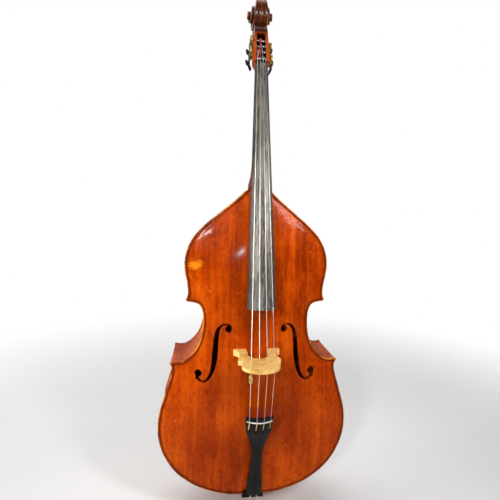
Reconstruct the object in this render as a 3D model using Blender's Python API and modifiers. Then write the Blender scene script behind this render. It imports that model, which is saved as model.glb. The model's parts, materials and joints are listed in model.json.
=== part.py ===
"""A three-quarter size double bass, as an assembly of separate pieces.

Every length below is in millimetres and every piece is modelled in metres.
Body coordinates: X to the right of the belly, Y backwards from the belly's rim, Z upwards from the
body's lower edge. BODY carries them to the world, whose origin is the tip of the retracted endpin.
"""

import math

import bmesh
import bpy
import numpy as np
from mathutils import Matrix, Vector
from mathutils.bvhtree import BVHTree
from mathutils.geometry import delaunay_2d_cdt

MM = 0.001
GAP = 0.3  # clearance between pieces that touch

# Driving sizes
FOOT_HEIGHT = 80.0  # from the floor to the body's lower edge, endpin retracted
RIB_DEPTH = 200.0  # over both plates' rims
NECK_END_DEPTH = 160.0  # the same at the neck
TAPER_START = 700.0
BODY_LENGTH = 1110.0
BRIDGE_Z = 515.0
BRIDGE_HEIGHT = 164.0
BELLY_ARCH = 26.0
BACK_ARCH = 22.0
STRING_LENGTH = 1051.0
NUT_Z = BRIDGE_Z + STRING_LENGTH
NUT_STRING_Y = 11.8
BOARD_LENGTH = 864.0
NUT_WIDTH = 46.0
BOARD_END_WIDTH = 95.0
CAMBER_RADIUS = 75.0
BRIDGE_SPACING = 25.0
NUT_SPACING = 10.0
STRING_DIAMETERS = (2.7, 2.2, 1.8, 1.4)
STRING_NAMES = ("e", "a", "d", "g")
RIM = 6.5  # thickness of a plate at its edge
PLATE = 8.0  # thickness of a plate at its middle
OVERHANG = 5.0
RIB = 2.2
LINING = 4.0
LINING_HEIGHT = 18.0
BLOCK_REACH = 48.0
ENDPIN_Y = RIB_DEPTH / 2

BODY = Matrix.Translation(Vector((0, -ENDPIN_Y, FOOT_HEIGHT)) * MM)

# Half outline of the plates, from the lower edge's middle round to the neck
LOWER_BOUT = (
    (0, -6), (55, -4.5), (100, 0.5), (150, 14), (195, 32), (235, 56), (270, 84), (300, 120),
    (324, 164), (338, 210), (342.5, 255), (338, 302), (326, 348), (311, 398), (300, 436),
    (297.5, 456), (300, 470), (306, 479),
)
WAIST = (
    (301, 488), (290, 485), (278, 484), (262, 486.5), (243, 497), (224, 516), (207, 542),
    (196, 575), (191.5, 610), (191, 640), (194, 664), (202, 683), (214, 692.5), (230, 697), (247, 699),
)
UPPER_BOUT = (
    (254, 706), (248.5, 716), (246.5, 736), (250, 767), (257.5, 800), (261, 833), (257, 868),
    (247, 900), (230, 931), (205, 960), (173, 990), (136, 1020), (100, 1050), (73, 1073), (53, 1092),
    (41, 1104), (36, 1110),
)
NECK_EDGE = ((0, BODY_LENGTH),)
BUTTON = ((21, 1110.5), (21, 1123), (14, 1132), (0, 1135))

# Sound hole: centreline and half width, from the upper eye round to the lower one
F_STEM = (
    (91, 609, 5.5), (99, 617.5, 4), (109, 621, 3), (120, 618, 3.6), (130, 610, 5), (137, 598, 6.8),
    (142, 580, 8.4), (144.5, 555, 9.4), (146, 519, 10), (149, 490, 9.4), (153, 465, 8),
    (159, 446, 6.4), (168, 431, 5), (178, 422, 3.6), (187, 420, 3), (196, 424, 4), (204, 430, 5.5),
    (212, 438, 6.5),
)
UPPER_EYE = (100, 604, 12)
LOWER_EYE = (204, 448, 13)

# Pegbox: rollers' places along its front edge, measured from the nut, and the side each machine is on
PEGBOX_SLOPE = 0.2
ROLLERS = (("g", 33.0, 1), ("e", 62.0, -1), ("d", 84.0, 1), ("a", 108.0, -1))
ROLLER_DEPTH = 20.0
ROLLER_RADIUS = 6.5
PEGBOX_HALF_WIDTHS = ((0, 32.5), (120, 26.5))
PEGBOX = (
    # z, half width, Y of its front where that leaves the straight edge, Y of its back
    (NUT_Z + 9.6, 31.7, None, 75), (1610, 29.9, None, 83), (1655, 27.6, None, 95), (1695, 25.6, None, 110),
    (1722, 24.2, 58, 124), (1744, 21.5, 72, 136),
)
PLATE_THICKNESS = 2.0
GEAR_TEETH = 20
WORM_PITCH = 5.0
GEAR_THICKNESS = 6.0
GEAR_MIDDLE = 9.2  # from the cheek
GEAR_RADIUS = GEAR_TEETH * WORM_PITCH / (2 * math.pi)
WORM_RADIUS = 5.0
WORM_CORE = 3.5  # its shaft's radius
WORM_DISTANCE = GEAR_RADIUS + WORM_RADIUS
KEY_START = 42.0

# Scroll
EYE_Y, EYE_Z = 103.0, 1780.0
SCROLL_START_RADIUS, SCROLL_EYE_RADIUS = 80.0, 17.0
SCROLL_TURNS = 2.5
SCROLL_HALF_WIDTHS = (
    # turns, half width: narrowest over the top, widest at the eye
    (0, 23.5), (0.15, 20), (0.3, 17.2), (0.45, 16.5), (0.6, 19), (0.75, 24.5), (0.9, 28), (1, 29),
    (1.25, 30), (1.5, 32), (1.75, 35.5), (2, 40), (2.5, 48),
)

PARTS = bpy.data.collections.new("double_bass")
CUTTERS = bpy.data.collections.new("cutters")
FINISHES = {
    "spruce": ((0.50, 0.13, 0.02), 0.3, 0),
    "maple": ((0.42, 0.10, 0.02), 0.3, 0),
    "inside_wood": ((0.72, 0.50, 0.28), 0.7, 0),
    "ebony": ((0.03, 0.028, 0.028), 0.4, 0),
    "bridge_maple": ((0.80, 0.58, 0.27), 0.5, 0),
    "brass": ((0.65, 0.47, 0.18), 0.35, 1),
    "steel": ((0.6, 0.6, 0.62), 0.3, 1),
    "string": ((0.55, 0.53, 0.5), 0.35, 1),
    "ivory": ((0.82, 0.80, 0.74), 0.4, 0),
    "rubber": ((0.03, 0.03, 0.03), 0.8, 0),
}


# ---------------------------------------------------------------- helpers


def clear_scene():
    for obj in list(bpy.data.objects):
        bpy.data.objects.remove(obj)
    for collection in (PARTS, CUTTERS):
        bpy.context.scene.collection.children.link(collection)
    CUTTERS.hide_render = True


def finish_named(name):
    """The material of that name, made on first use."""
    material = bpy.data.materials.get(name)
    if material is None:
        colour, roughness, metallic = FINISHES[name]
        material = bpy.data.materials.new(name)
        material.use_nodes = True
        shader = material.node_tree.nodes["Principled BSDF"]
        shader.inputs["Base Color"].default_value = (*colour, 1)
        shader.inputs["Roughness"].default_value = roughness
        shader.inputs["Metallic"].default_value = metallic
    return material


def add(name, mesh, finish, matrix=BODY):
    """A new object: a part with that finish, or a cutter where finish is None."""
    obj = bpy.data.objects.new(name, mesh)
    obj.matrix_world = matrix
    if finish is None:
        CUTTERS.objects.link(obj)
        obj.hide_render = True
        obj.display_type = "WIRE"
    else:
        PARTS.objects.link(obj)
        mesh.materials.append(finish_named(finish))
    return obj


def closed_mesh(name, points, faces):
    """A mesh in metres from points in millimetres, welded, with its faces pointing out."""
    mesh = bpy.data.meshes.new(name)
    mesh.from_pydata([Vector(p) * MM for p in points], [], faces)
    shape = bmesh.new()
    shape.from_mesh(mesh)
    bmesh.ops.remove_doubles(shape, verts=shape.verts, dist=1e-6)
    bmesh.ops.recalc_face_normals(shape, faces=shape.faces)
    shape.to_mesh(mesh)
    shape.free()
    mesh.set_sharp_from_angle(angle=math.radians(35))
    return mesh


def loft(name, sections, finish, matrix=BODY):
    """A solid through closed sections that all have the same number of points."""
    count = len(sections[0])
    points = [p for section in sections for p in section]
    faces = [list(range(count))[::-1], [len(points) - count + i for i in range(count)]]
    for s in range(len(sections) - 1):
        for i in range(count):
            a, b = s * count + i, s * count + (i + 1) % count
            faces.append([a, b, b + count, a + count])
    return add(name, closed_mesh(name, points, faces), finish, matrix)


def slab(name, outline, low, high, finish, matrix=BODY, axis=1):
    """A flat outline extruded along an axis from low to high. Its points leave that axis out."""

    def section(level):
        return [p[:axis] + (level,) + p[axis:] for p in map(tuple, outline)]

    return loft(name, [section(low), section(high)], finish, matrix)


def box(name, low, high, finish, matrix=BODY):
    (x0, y0, z0), (x1, y1, z1) = low, high
    return slab(name, [(x0, z0), (x1, z0), (x1, z1), (x0, z1)], y0, y1, finish, matrix)


def turned(name, profile, finish, matrix=BODY, steps=16, hollow=False):
    """A profile of (radius, height) turned about its Z axis, from its top down the outer side."""
    mesh = bpy.data.meshes.new(name)
    edges = [(i, i + 1) for i in range(len(profile) - 1)]
    if hollow:
        edges.append((len(profile) - 1, 0))
    mesh.from_pydata([Vector((r, 0, h)) * MM for r, h in profile], edges, [])
    obj = add(name, mesh, finish, matrix)
    screw = obj.modifiers.new("turn", "SCREW")
    screw.steps = screw.render_steps = steps
    screw.use_merge_vertices = True
    screw.merge_threshold = 1e-5
    return obj


def rod(name, start, end, radius, finish, matrix=BODY, sides=12):
    """A plain cylinder between two points."""
    start, end = Vector(start), Vector(end)
    turn = (end - start).to_track_quat("Z", "Y").to_matrix()
    around = [2 * math.pi * i / sides for i in range(sides)]
    ring = [Vector((radius * math.cos(a), radius * math.sin(a), 0)) for a in around]
    sections = [[tuple(centre + turn @ p) for p in ring] for centre in (start, end)]
    return loft(name, sections, finish, matrix)


def tube(name, points, radius, finish, matrix=BODY):
    """A wire of round section through the points."""
    curve = bpy.data.curves.new(name, "CURVE")
    curve.dimensions = "3D"
    curve.bevel_depth = radius * MM
    curve.bevel_resolution = 2
    curve.use_fill_caps = True
    spline = curve.splines.new("POLY")
    spline.points.add(len(points) - 1)
    for point, place in zip(spline.points, points):
        point.co = (*(Vector(place) * MM), 1)
    obj = bpy.data.objects.new(name, curve)
    obj.matrix_world = matrix
    PARTS.objects.link(obj)
    curve.materials.append(finish_named(finish))
    return obj


def boolean(obj, other, operation):
    modifier = obj.modifiers.new(other.name, "BOOLEAN")
    modifier.object = other
    modifier.operation = operation
    modifier.solver = "EXACT"


def cut(obj, *cutters):
    for cutter in cutters:
        boolean(obj, cutter, "DIFFERENCE")


def join(obj, *others):
    for other in others:
        boolean(obj, other, "UNION")


def smooth_path(points, count):
    """count points, evenly spaced, on a Catmull-Rom curve through the points."""
    p = np.array(points, float)
    p = np.vstack([2 * p[0] - p[1], p, 2 * p[-1] - p[-2]])
    dense = []
    for i in range(1, len(p) - 2):
        for t in np.linspace(0, 1, 12, endpoint=False):
            a, b, c, d = p[i - 1 : i + 3]
            dense.append(
                b + 0.5 * t * (c - a + t * (2 * a - 5 * b + 4 * c - d + t * (3 * (b - c) + d - a)))
            )
    return even(np.vstack([dense, p[-2]]), count)


def arc_length(path):
    return np.concatenate([[0], np.cumsum(np.linalg.norm(np.diff(path, axis=0), axis=1))])


def even(path, count, start=0.0, end=0.0):
    """The path resampled at even steps, leaving start and end millimetres off its ends."""
    s = arc_length(path)
    wanted = np.linspace(start, s[-1] - end, count)
    return np.stack([np.interp(wanted, s, path[:, k]) for k in range(path.shape[1])], 1)


def inset(path, distance):
    """The path moved inwards, to the left of its direction of travel."""
    along = np.gradient(path, axis=0)
    along /= np.linalg.norm(along, axis=1)[:, None]
    return path + distance * np.stack([-along[:, 1], along[:, 0]], 1)


def mirrored(path, side):
    return [(side * x, z) for x, z in path]


# ---------------------------------------------------------------- the body's surfaces

FINE_STRETCHES = [smooth_path(s, 120) for s in (LOWER_BOUT, WAIST, UPPER_BOUT)]
FINE_HALF = np.vstack([*FINE_STRETCHES, NECK_EDGE])


def back_rim(z):
    """Y of the back plate's outer rim, which closes in towards the neck."""
    share = min(1.0, max(0.0, (z - TAPER_START) / (BODY_LENGTH - TAPER_START)))
    return RIB_DEPTH - (RIB_DEPTH - NECK_END_DEPTH) * share**1.6


def edge_distance(x, z):
    """Distance from a point of a plate to the plate's edge."""
    ends = FINE_HALF[1:] - FINE_HALF[:-1]
    start = np.array([abs(x), z]) - FINE_HALF[:-1]
    share = np.clip((start * ends).sum(1) / (ends**2).sum(1), 0, 1)
    return float(np.linalg.norm(start - share[:, None] * ends, axis=1).min())


def inside_outline(x, z):
    """Whether a point lies within the plates' outline."""
    (x0, z0), (x1, z1) = FINE_HALF[:-1].T, FINE_HALF[1:].T
    spans = (z0 > z) != (z1 > z)
    crossings = x0[spans] + (z - z0[spans]) / (z1[spans] - z0[spans]) * (x1[spans] - x0[spans])
    return bool((crossings > abs(x)).sum() % 2)


def arch(x, z, height, flat=8.0, spread=75.0):
    """Height of an arched plate above its rim: a flat edge, then a rise that levels off."""
    rise = max(0.0, edge_distance(x, z) - flat) / spread
    return height * (1 - math.exp(-(rise**1.5)))


def plate(name, half, outside, inside, finish):
    """An arched plate from its half outline and the Y of its two faces at a point."""
    outline = [Vector(p) for p in list(half) + [(-x, z) for x, z in half[-2:0:-1]]]
    inner = []
    for distance, count in ((12, 66), (30, 50), (56, 38)):
        for stretch, share in zip(FINE_STRETCHES, (0.38, 0.27, 0.35)):
            path = even(inset(stretch, distance), round(count * share / 2) + 1, 4, 4)
            inner += [(side * x, z) for x, z in path for side in (-1, 1)]
    for row, z in enumerate(np.arange(62, 1090, 54)):
        for x in np.arange(32 * (row % 2), 280, 64):
            inner += [(side * x, z) for side in ((-1, 1) if x else (1,)) if edge_distance(x, z) > 76]
    kept = [Vector(p) for p in inner if edge_distance(*p) > 10.5 and inside_outline(*p)]
    verts, _, faces, *_ = delaunay_2d_cdt(outline + kept, [], [list(range(len(outline)))], 1, 1e-4)
    count = len(verts)
    points = [(x, outside(x, z), z) for x, z in verts] + [(x, inside(x, z), z) for x, z in verts]
    sides = {}
    for face in faces:
        for a, b in zip(face, list(face[1:]) + [face[0]]):
            sides[frozenset((a, b))] = None if frozenset((a, b)) in sides else (a, b)
    walls = [[a, b, b + count, a + count] for a, b in filter(None, sides.values())]
    layers = [list(face) for face in faces] + [[i + count for i in face[::-1]] for face in faces]
    return add(name, closed_mesh(name, points, layers + walls), finish)


def half_outline(upper_end):
    lower, waist, upper = (
        even(path, count) for path, count in zip(FINE_STRETCHES, (19, 13, 15))
    )
    return [tuple(p) for p in np.vstack([lower, waist, upper, upper_end])]


def face_y(obj, x, z, start_y, direction):
    """Y of the first face of obj met from start_y, in body coordinates."""
    graph = bpy.context.evaluated_depsgraph_get()
    tree = BVHTree.FromObject(obj, graph)
    hit = tree.ray_cast(Vector((x, start_y, z)) * MM, Vector((0, direction, 0)))[0]
    return hit.y / MM


def sound_hole_cutters(side):
    stem = np.array(F_STEM, float)
    path = smooth_path(stem, 26)
    along = np.gradient(path[:, :2], axis=0)
    along /= np.linalg.norm(along, axis=1)[:, None]
    across = np.stack([-along[:, 1], along[:, 0]], 1) * path[:, 2:3]
    outline = np.vstack([path[:, :2] + across, (path[:, :2] - across)[::-1]])
    label = "left" if side < 0 else "right"
    cutters = [slab(f"f_stem_{label}", mirrored(outline, side), -60, 30, None)]
    for eye, (x, z, radius) in (("upper", UPPER_EYE), ("lower", LOWER_EYE)):
        cutters.append(rod(f"f_{eye}_eye_{label}", (side * x, -60, z), (side * x, 30, z), radius, None))
    return cutters


def plates():
    def belly_outside(x, z):
        return -arch(x, z, BELLY_ARCH)

    def belly_inside(x, z):
        return RIM - arch(x, z, BELLY_ARCH - PLATE + RIM, flat=14)

    def back_outside(x, z):
        return back_rim(z) + arch(x, z, BACK_ARCH)

    def back_inside(x, z):
        return back_rim(z) - RIM + arch(x, z, BACK_ARCH - PLATE + RIM, flat=14)

    top = plate("top_plate", half_outline(NECK_EDGE), belly_outside, belly_inside, "spruce")
    back = plate("back_plate", half_outline(BUTTON), back_outside, back_inside, "maple")
    for side in (-1, 1):
        cut(top, *sound_hole_cutters(side))
    return top, back


# ---------------------------------------------------------------- ribs, linings and blocks


def strip(name, outer, inner, low, high, finish):
    """A bent strip of wood between two lines, whose edges are two Y functions of z."""
    sections = [
        [(ox, low(oz), oz), (ox, high(oz), oz), (ix, high(iz), iz), (ix, low(iz), iz)]
        for (ox, oz), (ix, iz) in zip(outer, inner)
    ]
    return loft(name, sections, finish)


def front_edge(_):
    return RIM + GAP


def back_edge(z):
    return back_rim(z) - RIM - GAP


def top_lining_edge(z):
    return front_edge(z) + LINING_HEIGHT


def back_lining_edge(z):
    return back_edge(z) - LINING_HEIGHT


def ribs_and_linings(endpin_hole, neck_tenon):
    """Six ribs, each with a lining along both edges between the blocks."""
    # name, stretch, steps, trims at both ends, steps without a lining at both ends
    rows = (
        ("lower", 0, 30, (0.3, 11), 3, 2),
        ("waist", 1, 15, (11, 11), 3, 3),
        ("upper", 2, 19, (11, 2), 2, 3),
    )
    for name, stretch, steps, trims, first, last in rows:
        path = even(FINE_STRETCHES[stretch], steps, *trims)
        lines = [inset(path, OVERHANG + depth) for depth in (0, RIB, RIB + GAP, RIB + GAP + LINING)]
        for side, label in ((-1, "left"), (1, "right")):
            outer, inner, touching, bare = (mirrored(line, side) for line in lines)
            rib = strip(f"rib_{name}_{label}", outer, inner, front_edge, back_edge, "maple")
            if name != "waist":
                cut(rib, endpin_hole if name == "lower" else neck_tenon)
            outer, inner = touching[first:-last], bare[first:-last]
            where = f"{name}_{label}"
            strip(f"lining_top_{where}", outer, inner, front_edge, top_lining_edge, "inside_wood")
            strip(f"lining_back_{where}", outer, inner, back_lining_edge, back_edge, "inside_wood")


def block(name, outline):
    """A block between the plates, whose back end follows the back plate's taper."""
    sections = [[(x, edge(z), z) for x, z in outline] for edge in (front_edge, back_edge)]
    return loft(name, sections, "inside_wood")


def blocks(endpin_hole, neck_tenon):
    inner_offset = OVERHANG + RIB + GAP
    skip, reach = 15, BLOCK_REACH
    lower, waist, upper = (inset(path, inner_offset) for path in FINE_STRETCHES)
    lower_length, waist_length, upper_length = (arc_length(p)[-1] for p in (lower, waist, upper))
    for side, label in ((-1, "left"), (1, "right")):
        corner = np.vstack(
            [even(lower, 5, lower_length - reach, skip), even(waist, 5, skip, waist_length - reach)]
        )
        block(f"corner_block_lower_{label}", mirrored(corner, side))
        corner = np.vstack(
            [even(waist, 5, waist_length - reach, skip), even(upper, 5, skip, upper_length - reach)]
        )
        block(f"corner_block_upper_{label}", mirrored(corner, side))
    half = even(lower, 5, 0, lower_length - 70)
    top = 46.0
    outline = [(half[-1][0], top), *map(tuple, half[::-1]), *mirrored(half[1:], -1), (-half[-1][0], top)]
    cut(block("end_block", outline), endpin_hole)
    half = even(upper, 5, upper_length - 58, 0)
    low = half[0][1] - 12
    outline = [(half[0][0], low), *map(tuple, half), *mirrored(half[::-1], -1), (-half[0][0], low)]
    cut(block("neck_block", outline), neck_tenon)


def inside_fittings(top, back):
    """The bass bar glued under the belly and the sound post that stands between the plates."""
    inside = RIB_DEPTH / 2
    bar_x, bar_half = -58.0, 11.0
    stations = np.linspace(170, 930, 15)
    across = (-bar_half, 0, bar_half)
    seat = [max(face_y(top, bar_x + dx, z, inside, -1) for dx in across) + 2 * GAP for z in stations]
    depth = [10 + 28 * math.sin(math.pi * i / 14) ** 0.8 for i in range(15)]
    outline = list(zip(seat, stations)) + [(y + d, z) for y, d, z in zip(seat, depth, stations)][::-1]
    slab("bass_bar", outline, bar_x - bar_half, bar_x + bar_half, "inside_wood", axis=0)
    post_x, post_z, post_radius = 62.0, 488.0, 9.0
    spots = ((0, 0), (1, 0), (-1, 0), (0, 1), (0, -1))
    rim = [(post_x + post_radius * c, post_z + post_radius * s) for c, s in spots]
    low = max(face_y(top, x, z, inside, -1) for x, z in rim) + GAP
    high = min(face_y(back, x, z, inside, 1) for x, z in rim) - GAP
    rod("sound_post", (post_x, low, post_z), (post_x, high, post_z), post_radius, "inside_wood")


# ---------------------------------------------------------------- neck, fingerboard and head


def board_width(z):
    return NUT_WIDTH + (BOARD_END_WIDTH - NUT_WIDTH) * (NUT_Z - z) / BOARD_LENGTH


def board_crown(z):
    """Y of the fingerboard's middle line."""
    return NUT_STRING_Y + 1.0 - 0.1828 * (NUT_Z - z)


def board_underside(z):
    return NUT_STRING_Y + 16.6 - 0.1706 * (NUT_Z - z)


def camber(x):
    return CAMBER_RADIUS - math.sqrt(CAMBER_RADIUS**2 - x * x)


def fingerboard():
    def section(z):
        half = board_width(z) / 2
        xs = np.linspace(-half, half, 9)
        over = [(x, board_crown(z) + camber(x), z) for x in xs]
        return over + [(half, board_underside(z), z), (-half, board_underside(z), z)]

    end = NUT_Z - BOARD_LENGTH
    board = loft("fingerboard", [section(z) for z in np.linspace(end, NUT_Z - GAP, 4)], "ebony")
    hollow_top = BODY_LENGTH - 70

    def hollow(z, depth):
        half = board_width(z) / 2 - 9
        low = board_underside(z)
        corners = ((-half, low + 5), (half, low + 5), (half * 0.7, low - depth), (-half * 0.7, low - depth))
        return [(x, y, z) for x, y in corners]

    cut(board, loft("board_hollow", [hollow(end - 5, 9), hollow(hollow_top, 3)], None))


def pegbox_front(z):
    return 20 + PEGBOX_SLOPE * (z - NUT_Z)


def rounded(z, half, front, back, power, points=13):
    """A section of the neck: flat in front, with a rounded back."""
    section = []
    for i in range(points):
        angle = math.pi * i / (points - 1)
        c, s = math.cos(angle), math.sin(angle)
        x = half * math.copysign(abs(c) ** (2 / power), c)
        section.append((x, front + (back - front) * s ** (2 / power), z))
    return section


def scroll_radius(turn):
    """Radius of the scroll's spiral after that many turns."""
    share = min(1.0, turn / SCROLL_TURNS)
    return SCROLL_EYE_RADIUS + (SCROLL_START_RADIUS - SCROLL_EYE_RADIUS) * (1 - share) ** 1.2


def scroll_half_width(turn):
    return float(np.interp(turn, *zip(*SCROLL_HALF_WIDTHS)))


def volute(level, steps=30):
    """One turn of the scroll as a disc with a spiral edge, wider than the turn outside it."""
    shrink = 0.985**level
    sides = {}
    for side in (-1, 1):
        edge = []
        for i in range(steps):
            turn = level + i / steps
            angle = 2 * math.pi * i / steps + 0.05 * level
            radius = shrink * scroll_radius(turn)
            y, z = EYE_Y + radius * math.sin(angle), EYE_Z - radius * math.cos(angle)
            edge.append((side * (scroll_half_width(turn) + 0.6 * level), y, z))
        sides[side] = edge
    hub_x = scroll_half_width(level + 0.5) + 0.6 * level
    points = sides[-1] + sides[1] + [(-hub_x, EYE_Y, EYE_Z), (hub_x, EYE_Y, EYE_Z)]
    faces = []
    for i in range(steps):
        j = (i + 1) % steps
        faces += [[i, j, j + steps, i + steps], [j, i, 2 * steps], [i + steps, j + steps, 2 * steps + 1]]
    return add(f"volute_{level}", closed_mesh(f"volute_{level}", points, faces), None)


def neck():
    shaft = [(1111, 35, 153), (1125, 35, 153), (1133, 35, 118), (1145, 34.5, 70), (1162, 34, 30)]
    sections = [rounded(z, half, board_underside(z) + GAP, back, 3.2) for z, half, back in shaft]
    for z, depth in ((1190, 43), (1225, 34), (1320, 30), (1430, 27), (1535, 25)):
        front = board_underside(z) + GAP
        sections.append(rounded(z, board_width(z) / 2 - 0.5, front, front + depth, 2.3))
    seat = board_underside(NUT_Z) + GAP
    sections.append(rounded(NUT_Z - 14, 25.5, board_underside(NUT_Z - 14) + GAP, 58, 3))
    sections.append(rounded(NUT_Z, 30, seat, 70, 4.5))
    sections.append(rounded(NUT_Z + 9, 30.5, seat, 75, 5))
    for z, half, front, back in PEGBOX:
        sections.append(rounded(z, half, front or pegbox_front(z), back, 5))
    piece = loft("neck", sections, "maple")
    tenon = box("tenon", (-28, -2, 1092), (28, 149, 1113), None)
    join(piece, tenon, *(volute(level) for level in range(3)))
    cavity = [
        [(-h, pegbox_front(z) - 12, z), (h, pegbox_front(z) - 12, z), (h, back, z), (-h, back, z)]
        for z, h, back in ((NUT_Z + 10.5, 18.5, 64), (1640, 17.5, 79), (1689, 15.5, 95))
    ]
    cut(piece, loft("pegbox_cavity", cavity, None))
    return piece


def nut_and_saddle(top):
    half = NUT_WIDTH / 2
    xs = np.linspace(-half, half, 7)
    over = [(x, NUT_STRING_Y + camber(x) + 0.4) for x in xs]
    seat = board_underside(NUT_Z)
    slab("nut", over + [(half, seat), (-half, seat)], NUT_Z + GAP, NUT_Z + 8, "ebony", axis=2)
    half = 39.5
    outline = [(-half, -8), (half, -8), (half - 6, 12), (-half + 6, 12)]
    slab("saddle", outline, -13, RIM - 1, "ebony")
    wider = [(-half - 0.6, -9), (half + 0.6, -9), (half - 5.4, 12 + GAP), (-half + 5.4, 12 + GAP)]
    cut(top, slab("saddle_notch", wider, -20, RIM - 1 + GAP, None))


# ---------------------------------------------------------------- tuning machines


def machine_frame(place, side):
    """Axes of one machine on its cheek: X along the roller and outwards, Z up the cheek, Y across it."""
    z = NUT_Z + place / math.hypot(1, PEGBOX_SLOPE)
    (_, low), (span, high) = PEGBOX_HALF_WIDTHS
    taper = (low - high) / span
    half = low - taper * place
    lean = math.atan(PEGBOX_SLOPE)
    up = Vector((-side * taper, math.sin(lean), math.cos(lean))).normalized()
    inwards = Vector((0, math.cos(lean), -math.sin(lean)))
    out = (inwards * side).cross(up).normalized()
    across = up.cross(out)
    middle = Vector((side * half, pegbox_front(z), z)) + inwards * ROLLER_DEPTH
    frame = Matrix((out, across, up)).transposed().to_4x4()
    frame.translation = middle * MM
    return BODY @ frame


def gear_outline(shift):
    """The gear's profile in its (Y, Z) plane, turned by an angle, with a gap facing down."""
    tip, root = GEAR_RADIUS + 1.3, GEAR_RADIUS - 1.5
    outline = []
    for tooth in range(GEAR_TEETH):
        middle = -math.pi / 2 + 2 * math.pi * (tooth + 0.5) / GEAR_TEETH + shift
        for radius, half in ((root, -1.55), (tip, -0.75), (tip, 0.75), (root, 1.55)):
            angle = middle + half / GEAR_RADIUS
            outline.append((radius * math.cos(angle), radius * math.sin(angle)))
    return outline


def worm_and_key(name, frame, side):
    """The worm, its shaft and the key on its rear end, about the Y axis of the machine's frame."""
    mid = GEAR_MIDDLE
    axis = frame @ Matrix.Translation(Vector((mid, 0, -WORM_DISTANCE)) * MM)
    rear = side  # the frame's Y axis points backwards on the right side only
    turns, steps = 3, 10
    tip, root = WORM_RADIUS + 1.2, WORM_RADIUS - 2.0
    sections = []
    for i in range(turns * steps + 1):
        turn = (i + 0.3) / steps - turns / 2
        angle = 2 * math.pi * turn
        middle = WORM_PITCH * turn
        fade = min(1.0, i / 4, (turns * steps - i) / 4)
        high = root + 0.4 + (tip - root - 0.4) * fade
        section = []
        for radius, along in ((root, -1.4), (high, -0.65), (high, 0.65), (root, 1.4)):
            section.append((radius * math.sin(angle), middle + along, radius * math.cos(angle)))
        sections.append(section)
    thread = loft(f"thread_{name}", sections, None, axis)
    ends = (0, -rear * 14, 0), (0, rear * (KEY_START + 4), 0)
    shaft = rod(f"worm_key_{name}", *ends, WORM_CORE, "brass", axis)
    join(shaft, thread)
    wing = [(2.2, 0), (10, 3), (18, 5), (22.5, 12), (21, 22), (13, 28), (6, 25), (0, 20)]
    outline = wing + [(-x, y) for x, y in wing[-2::-1]]
    placed = [(x, rear * (KEY_START + y)) for x, y in outline]
    tilt = axis @ Matrix.Rotation(math.radians(-60), 4, "Y")
    join(shaft, slab(f"wings_{name}", placed, -2.2, 2.2, None, tilt, axis=2))


def machine(name, place, side, piece):
    """One machine: roller and gear turn together, and the worm drives them. The roller crosses the pegbox."""
    frame = machine_frame(place, side)
    far = 2 * np.interp(place, *zip(*PEGBOX_HALF_WIDTHS)) - 5
    seat = -far * 0.5
    quarter = frame @ Matrix.Rotation(math.pi / 2, 4, "Y")
    radius = ROLLER_RADIUS
    profile = [(0, GEAR_MIDDLE + 5), (4, GEAR_MIDDLE + 5), (4, -3), (radius, -3), (radius, seat + 8)]
    profile += [(radius - 1, seat + 6), (radius - 1, seat - 6), (radius, seat - 8), (radius, -far), (0, -far)]
    turned(f"roller_{name}", profile, "steel", quarter, steps=12)
    hole = rod(f"roller_hole_{name}", (10, 0, 0), (-far - 0.6, 0, 0), radius + 0.6, None, frame)
    cut(piece, hole)
    low, high = GEAR_MIDDLE - GEAR_THICKNESS / 2, GEAR_MIDDLE + GEAR_THICKNESS / 2
    lead = WORM_PITCH / (2 * math.pi * WORM_RADIUS)
    twist = lead * GEAR_THICKNESS / 2 / GEAR_RADIUS
    sections = [
        [(x, y, z) for y, z in gear_outline(shift)] for x, shift in ((low, -twist), (high, twist))
    ]
    gear = loft(f"gear_{name}", sections, "brass", frame)
    cut(gear, rod(f"gear_bore_{name}", (-5, 0, 0), (25, 0, 0), 4 + GAP, None, frame))
    worm_and_key(name, frame, side)
    return frame


def lugs(name, frame, side):
    """The two bearings that hold a worm shaft on its plate, and the bore through them."""
    mid = GEAR_MIDDLE
    made = []
    for end, near in (("front", -13.5), ("rear", 9.5)):
        y = near if side > 0 else -near - 4
        low = (PLATE_THICKNESS - 1, y, -WORM_DISTANCE - 5)
        high = (mid + 4.6, y + 4, -WORM_DISTANCE + 5)
        made.append(box(f"lug_{end}_{name}", low, high, None, frame))
    ends = [(mid, y, -WORM_DISTANCE) for y in (-40, 40)]
    return made, rod(f"worm_bore_{name}", *ends, WORM_CORE + 0.4, None, frame)


def machines(piece):
    frames = {name: machine(name, place, side, piece) for name, place, side in ROLLERS}
    places = {name: place for name, place, _ in ROLLERS}
    for side, label, names in ((-1, "left", ("e", "a")), (1, "right", ("g", "d"))):
        frame = frames[names[0]]
        span = places[names[1]] - places[names[0]]
        low, high = -WORM_DISTANCE - 8, span + GEAR_RADIUS - 1
        half = [(12, low), (15, low + 3), (15, high - 8), (7, high)]
        outline = half + mirrored(half[::-1], -1)
        base = slab(f"machine_plate_{label}", outline, GAP, PLATE_THICKNESS, "brass", frame, axis=0)
        for name in names:
            bearings, bore = lugs(name, frames[name], side)
            join(base, *bearings)
            cut(base, bore)
            cut(base, rod(f"plate_hole_{name}", (-5, 0, 0), (8, 0, 0), 4.6, None, frames[name]))


# ---------------------------------------------------------------- bridge, tailpiece and strings


def string_x(index, z):
    """X of a string, which fans out from the nut to the bridge."""
    spacing = NUT_SPACING + (BRIDGE_SPACING - NUT_SPACING) * (NUT_Z - z) / STRING_LENGTH
    return spacing * (index - 1.5)


def crown_y(x):
    """Y of the bridge's top edge."""
    return -BELLY_ARCH - BRIDGE_HEIGHT + camber(x)


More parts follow.
